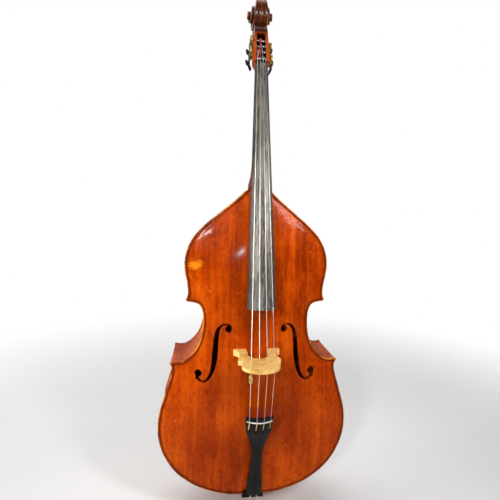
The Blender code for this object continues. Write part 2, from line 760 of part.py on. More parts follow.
def bridge(top):
    """Its tail side is square to the belly and its other face tapers to the crown. The feet fit the belly."""
    crown = [(x, BRIDGE_HEIGHT - camber(x)) for x in np.linspace(0, 54, 6)]
    outer = [(52, 136), (60, 130), (63, 117), (61, 101), (57.5, 92), (66, 91), (72, 86), (71, 77), (66.5, 66)]
    outer += [(64, 52), (64.5, 34), (67, 20), (73, 13), (82, 9)]
    inner = [(37, 9), (35.5, 26), (36, 46), (31, 62), (18, 71), (0, 74)]
    feet = [(82, 0), (67, 0), (52, 0), (37, 0)]
    half = crown + outer + feet + inner
    outline = half + [(-x, h) for x, h in half[-2:0:-1]]
    seats = {x: min(face_y(top, x, BRIDGE_Z + dz, -120, 1) for dz in (0, 11, 22)) - GAP for x, _ in feet}

    def place(x, h, share):
        y = -BELLY_ARCH - h
        if h == 0:
            y = seats[abs(x)] - 0.2
        elif h == 9:
            y = seats[abs(x)] - 9
        thickness = 21 - 11 * h / BRIDGE_HEIGHT
        return (x, y, BRIDGE_Z + thickness * share)

    sections = [[place(x, h, share) for x, h in outline] for share in (0, 1)]
    piece = loft("bridge", sections, "bridge_maple")
    heart = [(0, 96), (9, 103), (15, 113), (13, 121), (7, 124), (0, 119)]
    heart += [(-x, h) for x, h in heart[-2:0:-1]]
    at = [(x, -BELLY_ARCH - h) for x, h in heart]
    cut(piece, slab("bridge_heart", at, BRIDGE_Z - 30, BRIDGE_Z + 50, None, axis=2))


TAIL_TOP_Z = 347.0
TAIL_FRET_Z = 332.0
TAIL_HOLE_Z = 295.0
TAIL_SPACING = 23.5
TAIL_X = 2.5  # its middle line, a little to the right of the body's
CORD_REACH = 11.0
BALL_RADIUS = 3.0
TAILPIECE = (
    # z, half width, thickness
    (8, 17, 10), (12, 22, 12), (42, 27, 15), (66, 26, 15), (92, 23.3, 14), (137, 19.4, 14),
    (168, 18.4, 14), (192, 18.8, 14), (219, 21.5, 14), (246, 28.5, 14), (268, 36, 14),
    (288, 42.3, 14), (318, 45.6, 13), (TAIL_TOP_Z, 47, 12),
)


def tail_front(z):
    """Y of the tailpiece's front along its middle line."""
    half = np.interp(z, [t[0] for t in TAILPIECE], [t[1] for t in TAILPIECE])
    return float(-22 - 0.296 * z - half**2 / 140)


def tail_camber(x):
    return (x - TAIL_X) ** 2 / 140


def tailpiece():
    sections = []
    for z, half, thickness in TAILPIECE:
        xs = TAIL_X + np.linspace(-half, half, 7)
        over = [(x, tail_front(z) + tail_camber(x), z) for x in xs]
        under = [(x, tail_front(z) + thickness + 0.7 * tail_camber(x), z) for x in xs[::-2]]
        sections.append(over + under)
    piece = loft("tailpiece", sections, "ebony")
    for side in (-1, 1):
        x = TAIL_X + CORD_REACH * side
        cut(piece, rod(f"cord_hole_{side}", (x, -32.3, 44), (x, -14.1, -8), 2.7, None))
    for index in range(4):
        x = tail_string_x(index)
        hole = rod(f"tail_hole_{index}", (x, -200, TAIL_HOLE_Z), (x, 0, TAIL_HOLE_Z), 4.3, None, sides=9)
        slot = box(f"tail_slot_{index}", (x - 1.9, -200, TAIL_HOLE_Z), (x + 1.9, 0, TAIL_FRET_Z - 9), None)
        cut(piece, hole, slot)
    xs = TAIL_X + np.linspace(-43, 43, 9)
    sections = []
    for x in xs:
        y, lift = tail_front(TAIL_FRET_Z) + tail_camber(x), 0.305 * 1.6
        sections.append(
            [
                (x, y - GAP - 0.4 + lift, TAIL_FRET_Z - 1.6),
                (x, y - GAP - 0.4 - lift, TAIL_FRET_Z + 1.6),
                (x, y - 3.2 - lift, TAIL_FRET_Z + 1),
                (x, y - 3.2 + lift, TAIL_FRET_Z - 1),
            ]
        )
    loft("tailpiece_fret", sections, "ivory")


def tail_cord():
    """The wire loop that holds the tailpiece to the endpin's collar, over the saddle."""
    reach, collar, under = CORD_REACH, 13.2, -12.3
    right = [(TAIL_X + reach, -31, 40), (TAIL_X + reach, -19, 6), (TAIL_X + reach, -16.6, -1)]
    right += [(reach + 1, -15.9, -9), (reach + 1, -12.5, under), (reach + 1, 8, under)]
    left = [(x - 2 * TAIL_X if i < 3 else x, y, z) for i, (x, y, z) in enumerate(right)]
    around = [(collar, 60), (collar, ENDPIN_Y - 3)]
    around += [(collar * math.cos(a), ENDPIN_Y + collar * math.sin(a)) for a in map(math.radians, (20, 55))]
    loop = [(x, y, under) for x, y in around]
    back = [(-x, y, z) for x, y, z in loop[::-1]] + [(-x, y, z) for x, y, z in left[::-1]]
    tube("tail_cord", right + loop + [(0, ENDPIN_Y + collar, under)] + back, 2, "steel")


def winding(start, centre, axis, reach, step, turns=2.4, points=10):
    """The string's way from its last straight point round a roller, moving along the roller."""
    ahead, below = centre.y - start.y, centre.z - start.z
    first = math.acos(reach / math.hypot(ahead, below)) - math.atan2(below, ahead)
    way = []
    for i in range(round(turns * points) + 1):
        angle = first + 2 * math.pi * i / points
        away = Vector((0, -math.cos(angle), math.sin(angle)))
        way.append(tuple(centre + axis * step * i / points + away * reach))
    return way


def tail_string_x(index):
    return TAIL_X + TAIL_SPACING * (index - 1.5)


def fret_string_y(radius, x):
    """Y of a string's centre where it crosses the tailpiece's fret."""
    return tail_front(TAIL_FRET_Z) + tail_camber(x) - 3.6 - radius - GAP


def strings():
    """Each string from its ball end behind the tailpiece, over fret, bridge and nut, to its roller."""
    for index, name in enumerate(STRING_NAMES):
        radius = STRING_DIAMETERS[index] / 2
        x_tail = tail_string_x(index)
        x_bridge, x_nut = string_x(index, BRIDGE_Z), string_x(index, NUT_Z)
        surface, low = tail_front(TAIL_HOLE_Z) + tail_camber(x_tail), TAIL_HOLE_Z + 2
        crown = crown_y(x_bridge) - radius - GAP
        nut = NUT_STRING_Y + camber(x_nut) - radius - 0.2
        leaving = Vector((x_nut, nut + 0.9, NUT_Z + 10))
        place, side = next((p, s) for n, p, s in ROLLERS if n == name)
        frame = BODY.inverted() @ machine_frame(place, side)
        end, axis = frame.translation / MM, frame.col[0].to_3d()
        axis /= axis.x
        centre = end + axis * (0.62 * x_nut - end.x)
        path = [
            (x_tail, surface + 19.5, low),
            (x_tail, surface + 15, low),
            (x_tail, surface + 14.6, low),
            (x_tail, surface + 2, low + 1),
            (x_tail, fret_string_y(radius, x_tail) + 0.5, TAIL_FRET_Z - 3),
            (x_tail, fret_string_y(radius, x_tail), TAIL_FRET_Z),
            (x_bridge, crown + 0.4, BRIDGE_Z - 2),
            (x_bridge, crown, BRIDGE_Z + 1),
            (x_bridge, crown, BRIDGE_Z + 9),
            (x_bridge, crown + 0.4, BRIDGE_Z + 12),
            (x_nut, nut, NUT_Z),
            (x_nut, nut, NUT_Z + 7),
            tuple(leaving),
        ]
        step = -math.copysign(2 * radius + 0.5, x_nut)
        path += winding(leaving, centre, axis, ROLLER_RADIUS + radius + 1, step)
        string = tube(f"string_{name}", path, radius, "string")
        for point in string.data.splines[0].points[:2]:
            point.radius = BALL_RADIUS / radius


def wolf_eliminator():
    """A brass tube clamped on the lowest string below the bridge."""
    x_tail, x_bridge = tail_string_x(0), string_x(0, BRIDGE_Z)
    radius = STRING_DIAMETERS[0] / 2
    low = Vector((x_tail, fret_string_y(radius, x_tail), TAIL_FRET_Z))
    high = Vector((x_bridge, crown_y(x_bridge) - radius - GAP + 0.4, BRIDGE_Z - 2))
    direction = (high - low).normalized()
    frame = direction.to_track_quat("Z", "Y").to_matrix().to_4x4()
    frame.translation = (high - direction * 31) * MM
    length, bore = 26.0, radius + 0.5
    profile = [(bore, length), (5.6, length), (6.8, length - 1.5), (6.8, 1.5), (5.6, 0), (bore, 0)]
    turned("wolf_eliminator", profile, "brass", BODY @ frame, steps=14, hollow=True)


# ---------------------------------------------------------------- endpin


def endpin():
    """The collar in the end block, the rod that slides in it, the rubber foot and the clamping screw."""
    frame = BODY @ Matrix.Translation(Vector((0, ENDPIN_Y, 0)) * MM)
    bore = 5.5
    plug = [(bore, 46), (11.5, 46), (12.2, -2), (20, -2.6), (20, -8.8), (10, -9.8), (10, -14.8)]
    plug += [(19, -15.8), (19, -20), (13, -23), (13, -42), (bore, -42)]
    collar = turned("endpin_collar", plug, "ebony", frame, steps=20, hollow=True)
    screw_z = -33.0
    rod("endpin_rod", (0, 0, 440), (0, 0, -56), 5.0, "steel", frame, sides=16)
    foot = [(0, -44.5), (7, -44.5), (12, -50), (15, -60), (15, -72), (11.5, -80), (0, -80)]
    tip = turned("endpin_foot", foot, "rubber", frame, steps=16)
    cut(tip, rod("foot_socket", (0, 0, 0), (0, 0, -56 - GAP), 5 + GAP, None, frame, 16))
    hole = rod("screw_hole", (0, 3, screw_z), (0, 30, screw_z), 3 + 0.4, None, frame)
    cut(collar, hole)
    screw = frame @ Matrix.Translation(Vector((0, 0, screw_z)) * MM) @ Matrix.Rotation(-math.pi / 2, 4, "X")
    stem = [(0, 29), (5, 29), (5, 20), (3, 20), (3, 5.8), (0, 5.8)]
    knob = turned("endpin_screw", stem, "steel", screw, steps=12)
    wing = [(4, 0), (9, 2), (13, 8), (11, 13), (5, 11), (0, 6)]
    outline = wing + [(-x, y) for x, y in wing[-2::-1]]
    outline = [(x, y + 22) for x, y in outline]
    join(knob, slab("screw_wings", outline, -1.6, 1.6, None, screw, axis=1))


def build():
    clear_scene()
    pin_line = (0, ENDPIN_Y, -30), (0, ENDPIN_Y, 80)
    endpin_hole = rod("endpin_hole", *pin_line, 12.9, None, sides=20)
    tenon_room = box("tenon_room", (-28 - GAP, -30, 1092 - GAP), (28 + GAP, 149 + GAP, 1120), None)
    top, back = plates()
    cut(top, tenon_room)
    nut_and_saddle(top)
    ribs_and_linings(endpin_hole, tenon_room)
    blocks(endpin_hole, tenon_room)
    inside_fittings(top, back)
    fingerboard()
    machines(neck())
    bridge(top)
    tailpiece()
    tail_cord()
    strings()
    wolf_eliminator()
    endpin()


build()
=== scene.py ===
"""The looks of a double bass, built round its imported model.

Body coordinates, in millimetres: X to the right of the belly, Y backwards from the belly's rim and
Z upwards from the body's lower edge, as the model was designed. world() carries them to the frame.
"""

import json
import math

import bmesh
import bpy
import numpy as np
from mathutils import Matrix, Vector
from mathutils.bvhtree import BVHTree
from mathutils.geometry import delaunay_2d_cdt
from mathutils.kdtree import KDTree

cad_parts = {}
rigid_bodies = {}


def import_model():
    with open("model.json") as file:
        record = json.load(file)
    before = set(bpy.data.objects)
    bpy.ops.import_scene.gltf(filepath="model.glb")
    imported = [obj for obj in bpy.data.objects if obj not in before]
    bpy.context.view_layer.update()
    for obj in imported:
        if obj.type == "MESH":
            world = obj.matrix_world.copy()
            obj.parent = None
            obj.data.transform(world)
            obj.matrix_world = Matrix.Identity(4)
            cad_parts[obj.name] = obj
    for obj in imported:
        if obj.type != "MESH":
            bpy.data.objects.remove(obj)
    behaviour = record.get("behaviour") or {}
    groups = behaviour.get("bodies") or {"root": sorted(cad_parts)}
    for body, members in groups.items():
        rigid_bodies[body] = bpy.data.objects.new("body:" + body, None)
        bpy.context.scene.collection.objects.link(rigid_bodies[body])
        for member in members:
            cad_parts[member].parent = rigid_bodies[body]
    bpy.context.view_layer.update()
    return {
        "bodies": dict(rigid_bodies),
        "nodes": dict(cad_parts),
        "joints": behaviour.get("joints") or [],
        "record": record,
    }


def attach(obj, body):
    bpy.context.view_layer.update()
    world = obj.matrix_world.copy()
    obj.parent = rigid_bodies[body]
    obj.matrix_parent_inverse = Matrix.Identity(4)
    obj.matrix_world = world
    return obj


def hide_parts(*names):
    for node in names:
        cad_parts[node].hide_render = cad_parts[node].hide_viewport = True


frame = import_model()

MM = 0.001
NODES = frame["nodes"]

# ---------------------------------------------------------------- sizes, as the model has them

# The body. The floor is FOOT_HEIGHT below its lower edge, and from TAPER_START on the ribs get narrower
FOOT_HEIGHT, RIB_DEPTH, NECK_END_DEPTH = 80.0, 200.0, 160.0
TAPER_START, BODY_LENGTH = 700.0, 1110.0
BELLY_ARCH, BACK_ARCH = 26.0, 22.0
# Thickness of the plates at their edge and in their middle, and of the ribs, which the plates overhang
RIM, PLATE, RIB, OVERHANG = 6.5, 8.0, 2.2, 5.0
# Bridge, nut and fingerboard. The bridge, the nut and the board are cambered alike
BRIDGE_Z, BRIDGE_HEIGHT = 515.0, 164.0
STRING_LENGTH, BOARD_LENGTH = 1051.0, 864.0
NUT_Z = BRIDGE_Z + STRING_LENGTH
NUT_STRING_Y, NUT_WIDTH, BOARD_END_WIDTH = 11.8, 46.0, 95.0
CROWN_SLOPE, UNDERSIDE_SLOPE = 0.1828, 0.1706
CAMBER_RADIUS = 75.0
# The head. The pegbox's half width is given at two distances from the nut
PEGBOX_SLOPE = 0.2
PEGBOX_HALF_WIDTHS = ((0, 32.5), (120, 26.5))
SCROLL_Y, SCROLL_Z = 103.0, 1780.0
SCROLL_RADIUS, SCROLL_EYE, BUTTON_RADIUS = 80.0, 17.0, 12.5
# The tailpiece, which sits a little to the right, and the cord that holds it
TAIL_TOP_Z, TAIL_FRET_Z, TAIL_HOLE_Z = 347.0, 332.0, 295.0
TAIL_X, TAIL_SPACING, TAIL_FOOT_Y, TAIL_LEAN, TAIL_CAMBER = 2.5, 23.5, -22.0, 0.296, 140.0
CORD_REACH, CORD_RADIUS = 11.0, 2.0
# Each string's name and diameter, from left to right, and their spacing at both ends
STRINGS = (("e", 2.7), ("a", 2.2), ("d", 1.8), ("g", 1.4))
NUT_SPACING, BRIDGE_SPACING = 10.0, 25.0
# Each machine's name, its way up from the nut and its side
ROLLERS = (("g", 33.0, 1), ("e", 62.0, -1), ("d", 84.0, 1), ("a", 108.0, -1))
ROLLER_DEPTH, ROLLER_RADIUS = 20.0, 6.5
GEAR_TEETH, GEAR_MIDDLE = 20, 9.2
WORM_PITCH, WORM_RADIUS = 5.0, 5.0
WORM_DISTANCE = GEAR_TEETH * WORM_PITCH / (2 * math.pi) + WORM_RADIUS
KEY_START = 42.0
ENDPIN_BORE, ENDPIN_SCREW_Z = 5.5, -33.0

LOWER_BOUT = (
    (0, -6), (55, -4.5), (100, 0.5), (150, 14), (195, 32), (235, 56), (270, 84), (300, 120),
    (324, 164), (338, 210), (342.5, 255), (338, 302), (326, 348), (311, 398), (300, 436),
    (297.5, 456), (300, 470), (306, 479),
)
WAIST = (
    (301, 488), (290, 485), (278, 484), (262, 486.5), (243, 497), (224, 516), (207, 542),
    (196, 575), (191.5, 610), (191, 640), (194, 664), (202, 683), (214, 692.5), (230, 697), (247, 699),
)
UPPER_BOUT = (
    (254, 706), (248.5, 716), (246.5, 736), (250, 767), (257.5, 800), (261, 833), (257, 868),
    (247, 900), (230, 931), (205, 960), (173, 990), (136, 1020), (100, 1050), (73, 1073), (53, 1092),
    (41, 1104), (36, 1110),
)
BUTTON = ((21, 1110.5), (21, 1123), (14, 1132), (0, 1135))
F_STEM = (
    (91, 609, 5.5), (99, 617.5, 4), (109, 621, 3), (120, 618, 3.6), (130, 610, 5), (137, 598, 6.8),
    (142, 580, 8.4), (144.5, 555, 9.4), (146, 519, 10), (149, 490, 9.4), (153, 465, 8),
    (159, 446, 6.4), (168, 431, 5), (178, 422, 3.6), (187, 420, 3), (196, 424, 4), (204, 430, 5.5),
    (212, 438, 6.5),
)
F_EYES = ((100, 604, 12), (204, 448, 13))
NECK_SHAFT = (
    # z, half width, Y of the back, squareness
    (1111, 35, 153, 3.2), (1124, 35, 152.6, 3.2), (1133, 35, 118, 3.2), (1145, 34.6, 70, 3.0),
    (1162, 34, 30, 2.8), (1190, 33, 7.6, 2.5), (1225, 31.8, 4.4, 2.3), (1320, 29.4, 16.7, 2.3),
    (1430, 26.3, 32.5, 2.3), (1535, 23.4, 48.4, 2.3), (1552, 25.5, 58, 2.9), (1566, 30, 70, 4.4),
    (1576, 30.5, 75, 5),
)
PEGBOX = (
    # z, half width, Y of the front, Y of the back, depth of the flutes
    (1575.2, 31.7, 21.9, 75, 0), (1610, 29.9, 28.8, 83, 0), (1655, 27.6, 37.8, 95, 0.6),
    (1680, 26.3, 42.8, 103.5, 1.6), (1695, 25.5, 45.8, 113, 2.4), (1705, 24.9, 48.5, 126, 2.8),
    (1713, 24.4, 52, 140, 3), (1722, 23.4, 57.5, 152.8, 3), (1733, 21.4, 65, 162, 3),
    (1744, 19.4, 72, 167.6, 3), (1757, 17.4, 84, 171, 3),
)
SCROLL_HALF_WIDTHS = (
    # turns, half width: narrowest over the top, widest at the eye
    (0, 23.5), (0.15, 20), (0.3, 17.2), (0.45, 16.5), (0.6, 19), (0.75, 24.5), (0.9, 28), (1, 29),
    (1.25, 30), (1.5, 32), (1.75, 35.5), (2, 40), (2.5, 48),
)
TAILPIECE = (
    # z, half width, thickness
    (8, 17, 10), (12, 22, 12), (42, 27, 15), (66, 26, 15), (92, 23.3, 14), (137, 19.4, 14),
    (168, 18.4, 14), (192, 18.8, 14), (219, 21.5, 14), (246, 28.5, 14), (268, 36, 14),
    (288, 42.3, 14), (318, 45.6, 13), (TAIL_TOP_Z, 47, 12),
)


def world(points):
    """The frame's metres of points in body coordinates."""
    return (np.asarray(points, float) + (0, -RIB_DEPTH / 2, FOOT_HEIGHT)) * MM


def from_world(point):
    """Body coordinates of a point in the frame's metres."""
    return Vector(point) / MM + Vector((0, RIB_DEPTH / 2, -FOOT_HEIGHT))


# ---------------------------------------------------------------- finishes


class Finish:
    """A material written as expressions of sockets and numbers. Coordinates are the frame's metres."""

    def __init__(self, name, slot, **sockets):
        self.slot = slot
        self.material = bpy.data.materials.new(name)
        self.material.use_nodes = True
        self.tree = self.material.node_tree
        self.shader = self.tree.nodes["Principled BSDF"]
        for key, value in sockets.items():
            self.shader.inputs[key.replace("_", " ").title().replace("Ior", "IOR")].default_value = value
        self.here = self.tree.nodes.new("ShaderNodeTexCoord").outputs["Object"]

    def node(self, kind, inputs, output=0, **settings):
        made = self.tree.nodes.new("ShaderNode" + kind)
        for key, value in settings.items():
            setattr(made, key, value)
        for key, value in inputs.items():
            if isinstance(value, bpy.types.NodeSocket):
                self.tree.links.new(value, made.inputs[key])
            else:
                made.inputs[key].default_value = value
        return made.outputs[output]

    def math(self, operation, a, b=0.0, c=0.0):
        return self.node("Math", {0: a, 1: b, 2: c}, operation=operation)

    def add(self, a, b):
        return self.math("ADD", a, b)

    def times(self, a, b):
        return self.math("MULTIPLY", a, b)

    def stretched(self, stretch):
        return self.node("Mapping", {"Vector": self.here, "Scale": stretch})

    def noise(self, stretch, detail=2.0, rough=0.5, distort=0.0):
        """Noise with that many features a metre along each axis."""
        where = self.stretched(stretch)
        inputs = {"Vector": where, "Scale": 1.0, "Detail": detail, "Roughness": rough}
        return self.node("TexNoise", {**inputs, "Distortion": distort})

    def waves(self, position, scale, detail=1.0):
        """Noise along one line only."""
        inputs = {"W": position, "Scale": scale, "Detail": detail}
        return self.node("TexNoise", inputs, noise_dimensions="1D")

    def spots(self, stretch):
        """Distance to the nearest of scattered points."""
        return self.node("TexVoronoi", {"Vector": self.stretched(stretch), "Scale": 1.0})

    def value(self, attribute):
        return self.node("Attribute", {}, "Fac", attribute_name=attribute)

    def ramp(self, value, *stops):
        """A colour or a grey by position: each stop is (position, colour or grey)."""
        made = self.tree.nodes.new("ShaderNodeValToRGB")
        self.tree.links.new(value, made.inputs[0])
        elements = made.color_ramp.elements
        while len(elements) < len(stops):
            elements.new(0.5)
        for element, (position, colour) in zip(elements, stops):
            element.position = position
            element.color = (*colour, 1) if isinstance(colour, tuple) else (colour, colour, colour, 1)
        return made.outputs[0]

    def step(self, value, low, high):
        """0 below low, 1 above high, smooth between. low may be the larger."""
        inputs = {"Value": value, "From Min": low, "From Max": high}
        return self.node("MapRange", inputs, interpolation_type="SMOOTHSTEP")

    def mix(self, share, a, b, how="MIX"):
        def colour(c):
            return (*c, 1) if isinstance(c, tuple) else c

        return self.node("Mix", {0: share, 6: colour(a), 7: colour(b)}, 2, data_type="RGBA", blend_type=how)

    def towards(self, colour, other, amount, value, low, high, how="MIX"):
        """The colour mixed by that amount with another one, where a value steps from low to high."""
        return self.mix(self.times(self.step(value, low, high), amount), colour, other, how)

    def near(self, centre, reach):
        """Distance from a point in body coordinates, as a share of its reach along each axis."""
        moved = self.node("VectorMath", {0: self.here, 1: tuple(world(centre))}, operation="SUBTRACT")
        scale = tuple(1 / (r * MM) for r in reach)
        scaled = self.node("VectorMath", {0: moved, 1: scale}, operation="MULTIPLY")
        return self.node("VectorMath", {0: scaled}, "Value", operation="LENGTH")

    def along(self, axis):
        return self.node("SeparateXYZ", {0: self.here}, axis)

    def bump(self, height, distance, strength=1.0, under=None):
        """Surface relief of that many millimetres."""
        inputs = {"Height": height, "Distance": distance * MM, "Strength": strength}
        if under is not None:
            inputs["Normal"] = under
        return self.node("Bump", inputs)

    def done(self, colour=None, roughness=None, normal=None, coat_normal=None):
        links = {"Base Color": colour, "Roughness": roughness, "Normal": normal, "Coat Normal": coat_normal}
        for key, value in links.items():
            if value is not None:
                self.tree.links.new(value, self.shader.inputs[key])
        return self


def purfling(f, rim, colour, dark):
    """The inlaid line along a plate's edge: dark, pale and dark again."""
    stops = (
        (0.0, 0.0), (0.31, 0.0), (0.325, 1.0), (0.36, 1.0), (0.375, 0.35), (0.43, 0.35), (0.445, 1.0),
        (0.48, 1.0), (0.495, 0.0),
    )
    inlay = f.ramp(f.times(rim, 1 / 20), *stops)
    return f.mix(f.times(inlay, 0.85), colour, dark)


def spruce_varnish():
    """Orange-brown varnish over straight-grained spruce, worn through at the left shoulder."""
    f = Finish(
        "spruce_varnish", "varnished_spruce", coat_weight=0.10, coat_roughness=0.12, specular_ior_level=0.02
    )
    reeds = f.noise((420, 60, 5), 2, 0.6)
    streaks = f.noise((60, 25, 2.6), 3, 0.6, 0.4)
    bands = f.noise((15, 8, 1.6), 3, 0.5, 0.5)
    clouds = f.noise((7, 7, 5), 4, 0.6)
    tone = f.add(f.times(streaks, 0.35), f.add(f.times(bands, 0.45), f.times(clouds, 0.55)))
    brown, orange = (0.21, 0.019, 0.0003), (0.68, 0.115, 0.002)
    between = ((0.66, (0.39, 0.041, 0.0004)), (0.78, (0.54, 0.070, 0.001)))
    colour = f.ramp(tone, (0.52, brown), *between, (0.9, orange))
    mottle = f.noise((75, 40, 48), 5, 0.72, 0.6)
    colour = f.towards(colour, (0.13, 0.013, 0.0003), 0.5, mottle, 0.50, 0.66)
    colour = f.towards(colour, (0.66, 0.105, 0.002), 0.4, mottle, 0.46, 0.30)
    colour = f.towards(colour, (0.8, 0.7, 0.7), 0.4, reeds, 0.42, 0.75, "MULTIPLY")
    # Painted shadow below the bridge and under the strings and the board. The rim is darker from thicker
    # varnish and painted edge shade
    bridge_shadow = f.near((75, 0, 330), (150, 300, 210))
    colour = f.towards(colour, (0.13, 0.010, 0.0003), 0.62, bridge_shadow, 1.2, 0.1)
    string_shadow = f.near((0, 0, 660), (75, 300, 150))
    colour = f.towards(colour, (0.12, 0.011, 0.0003), 0.7, string_shadow, 1.1, 0.2)
    rim = f.value("rim")
    colour = f.towards(colour, (0.09, 0.010, 0.001), 0.6, rim, 17, 4)
    # Worn down to the yellow ground where the player leans on it
    grit = f.noise((160, 160, 110), 4, 0.75)
    strokes = f.noise((40, 40, 190), 3, 0.7)
    reach = f.add(f.near((-222, 0, 832), (27, 200, 19)), f.times(f.add(strokes, -0.5), 2.6))
    drift = f.step(f.near((-236, 0, 775), (26, 200, 85)), 1.0, 0.4)
    flecks = f.times(drift, f.step(f.spots((230, 50, 190)), 0.24, 0.12))
    worn = f.math("MAXIMUM", f.times(f.step(reach, 1.0, 0.6), 0.9), flecks)
    colour = f.mix(worn, colour, f.mix(grit, (0.55, 0.12, 0.002), (0.85, 0.30, 0.01)))
    colour = purfling(f, rim, colour, (0.02, 0.007, 0.003))
    lip = f.times(f.step(rim, 4.6, 1.8), f.step(f.noise((26, 26, 20), 3), 0.38, 0.60))
    colour = f.mix(f.times(lip, 0.8), colour, (0.76, 0.27, 0.014))
    colour = f.towards(colour, (0.75, 0.38, 0.16), 0.6, f.spots((19, 8, 15)), 0.045, 0.025)
    rough = f.ramp(f.noise((40, 40, 25), 4, 0.6), (0.3, 0.24), (0.7, 0.4))
    grain = f.bump(reeds, 0.12, 0.5)
    ripple = f.bump(f.noise((34, 34, 16), 2), 0.9, 0.14, grain)
    return f.done(colour, rough, ripple, f.bump(f.noise((22, 22, 12), 2), 0.9, 0.3))


def maple_varnish(name, light, dark, shade_colour, flaming=0.2):
    """Red-brown varnish over flamed maple. The attribute figure is the way across its flames, in metres.

    The attribute rubbed, from 0 to 1, brings out worn edges. A second attribute, from 0 to 1, paints shade
    into hollows and onto faces turned from the light.
    """
    f = Finish(name, "varnished_maple", coat_weight=0.2, coat_roughness=0.12, specular_ior_level=0.2)
    drift = f.times(f.add(f.noise((8, 8, 8), 2), -0.5), 0.035)
    flames = f.step(f.waves(f.add(f.value("figure"), drift), 140, 2), 0.3, 0.7)
    flames = f.times(flames, f.step(f.noise((14, 14, 14), 2), 0.3, 0.6))
    fibres = f.noise((90, 90, 90), 4, 0.7)
    clouds = f.noise((5, 5, 5), 3, 0.6)
    tone = f.add(f.times(flames, flaming), 0.15 - flaming / 2)
    tone = f.add(tone, f.add(f.times(fibres, 0.3), f.times(clouds, 0.5)))
    middle = tuple((a + b) / 2 for a, b in zip(light, dark))
    colour = f.ramp(tone, (0.38, dark), (0.55, middle), (0.72, light))
    rim = f.value("rim")
    # Painted shade towards the rim, and on the ribs towards the plates
    colour = f.towards(colour, shade_colour, 0.45, rim, 30, 4)
    colour = purfling(f, rim, colour, (0.015, 0.007, 0.004))
    # Painted shade in hollows, in the pegbox and on the scroll's faces turned from the light
    colour = f.mix(f.times(f.value("recess"), 0.95), colour, shade_colour)
    patchy = f.step(f.noise((25, 25, 25), 3), 0.36, 0.6)
    rubbed = f.math("MAXIMUM", f.step(rim, 4.0, 1.2), f.value("rubbed"))
    colour = f.mix(f.times(f.times(rubbed, patchy), 0.75), colour, (0.58, 0.19, 0.025))
    rough = f.ramp(f.noise((50, 50, 50), 4, 0.6), (0.3, 0.24), (0.7, 0.4))
    relief = f.bump(flames, 0.3, 0.1, f.bump(fibres, 0.15, 0.4))
    return f.done(colour, rough, relief, f.bump(f.noise((24, 24, 24), 2), 0.8, 0.14))


def scaled(colour, share):
    return tuple(share * c for c in colour)


def ebony(name="ebony", tint=(0.005, 0.0047, 0.0044), gloss=0.3, gleam=0.12, streaks=(40, 0.6)):
    """Black wood with fine lengthwise pores. A point attribute, from 0 in the middle to 1 at the edges,
    makes it darker towards the edges.

    streaks is how many dark streaks a metre holds, and how dark they are.
    """
    f = Finish(name, "ebony", specular_ior_level=gleam)
    pores = f.noise((900, 300, 14), 3, 0.7)
    smoke = f.noise((60, 40, 1.6), 3)
    colour = f.mix(f.step(smoke, 0.35, 0.75), tint, scaled(tint, 2.1))
    spacing, darkness = streaks
    broad = f.noise((spacing, spacing, 0.45), 2, 0.6)
    colour = f.towards(colour, scaled(tint, 0.3), darkness, broad, 0.52, 0.40)
    colour = f.towards(colour, (0.008, 0.007, 0.007), 0.6, pores, 0.56, 0.7)
    colour = f.towards(colour, scaled(tint, 0.2), 0.8, f.value("unworn"), 0.5, 1.0)
    scuffs = f.noise((500, 80, 9), 2, 0.6)
    rough = f.ramp(f.add(f.times(smoke, 0.5), f.times(scuffs, 0.5)), (0.35, gloss), (0.65, gloss + 0.16))
    return f.done(colour, rough, f.bump(pores, 0.06, 0.7, f.bump(scuffs, 0.05, 0.5)))


def bare_wood():
    """Unvarnished spruce inside the body."""
    f = Finish("bare_wood", "bare_wood", specular_ior_level=0.2)
    reeds = f.noise((500, 120, 8), 2)
    clouds = f.noise((20, 20, 6), 3)
    tone = f.add(f.times(reeds, 0.5), f.times(clouds, 0.5))
    colour = f.ramp(tone, (0.4, (0.30, 0.16, 0.065)), (0.6, (0.52, 0.33, 0.16)))
    return f.done(colour, f.ramp(clouds, (0.3, 0.62), (0.7, 0.8)), f.bump(reeds, 0.15, 0.5))


def bridge_wood():
    """Pale maple with the golden flecks of its rays."""
    f = Finish("bridge_wood", "bridge_maple", specular_ior_level=0.4, coat_weight=0.15, coat_roughness=0.3)
    rays = f.spots((230, 60, 520))
    clouds = f.noise((26, 26, 20), 3, 0.6, 0.4)
    stain = f.noise((55, 55, 60), 3, 0.6)
    colour = f.ramp(clouds, (0.35, (0.76, 0.42, 0.085)), (0.65, (0.93, 0.64, 0.22)))
    colour = f.towards(colour, (0.55, 0.27, 0.05), 0.55, rays, 0.36, 0.14)
    knots = f.times(f.step(clouds, 0.50, 0.34), f.step(stain, 0.42, 0.62))
    colour = f.mix(f.times(knots, 0.8), colour, (0.62, 0.27, 0.02))
    colour = f.towards(colour, (0.45, 0.24, 0.09), 0.35, stain, 0.5, 0.8)
    rough = f.ramp(stain, (0.3, 0.42), (0.7, 0.6))
    return f.done(colour, rough, f.bump(rays, 0.12, 0.4, f.bump(stain, 0.1, 0.4)))


def metal(name, slot, colour, tarnish, roughness, dark=0.5):
    """Turned or cast metal with tarnish and fine scratches. A higher dark leaves less tarnish."""
    f = Finish(name, slot, metallic=1.0)
    blotches = f.noise((120, 120, 120), 4, 0.6)
    scratches = f.noise((900, 900, 120), 2, 0.6, 0.3)
    tone = f.mix(f.times(f.step(blotches, dark, dark + 0.25), 0.8), colour, tarnish)
    tone = f.towards(tone, scaled(colour, 0.5), 0.35, scratches, 0.55, 0.75)
    wear = f.add(f.times(blotches, 0.6), f.times(scratches, 0.4))
    rough = f.ramp(wear, (0.3, roughness), (0.7, roughness + 0.2))
    return f.done(tone, rough, f.bump(scratches, 0.03, 0.4))


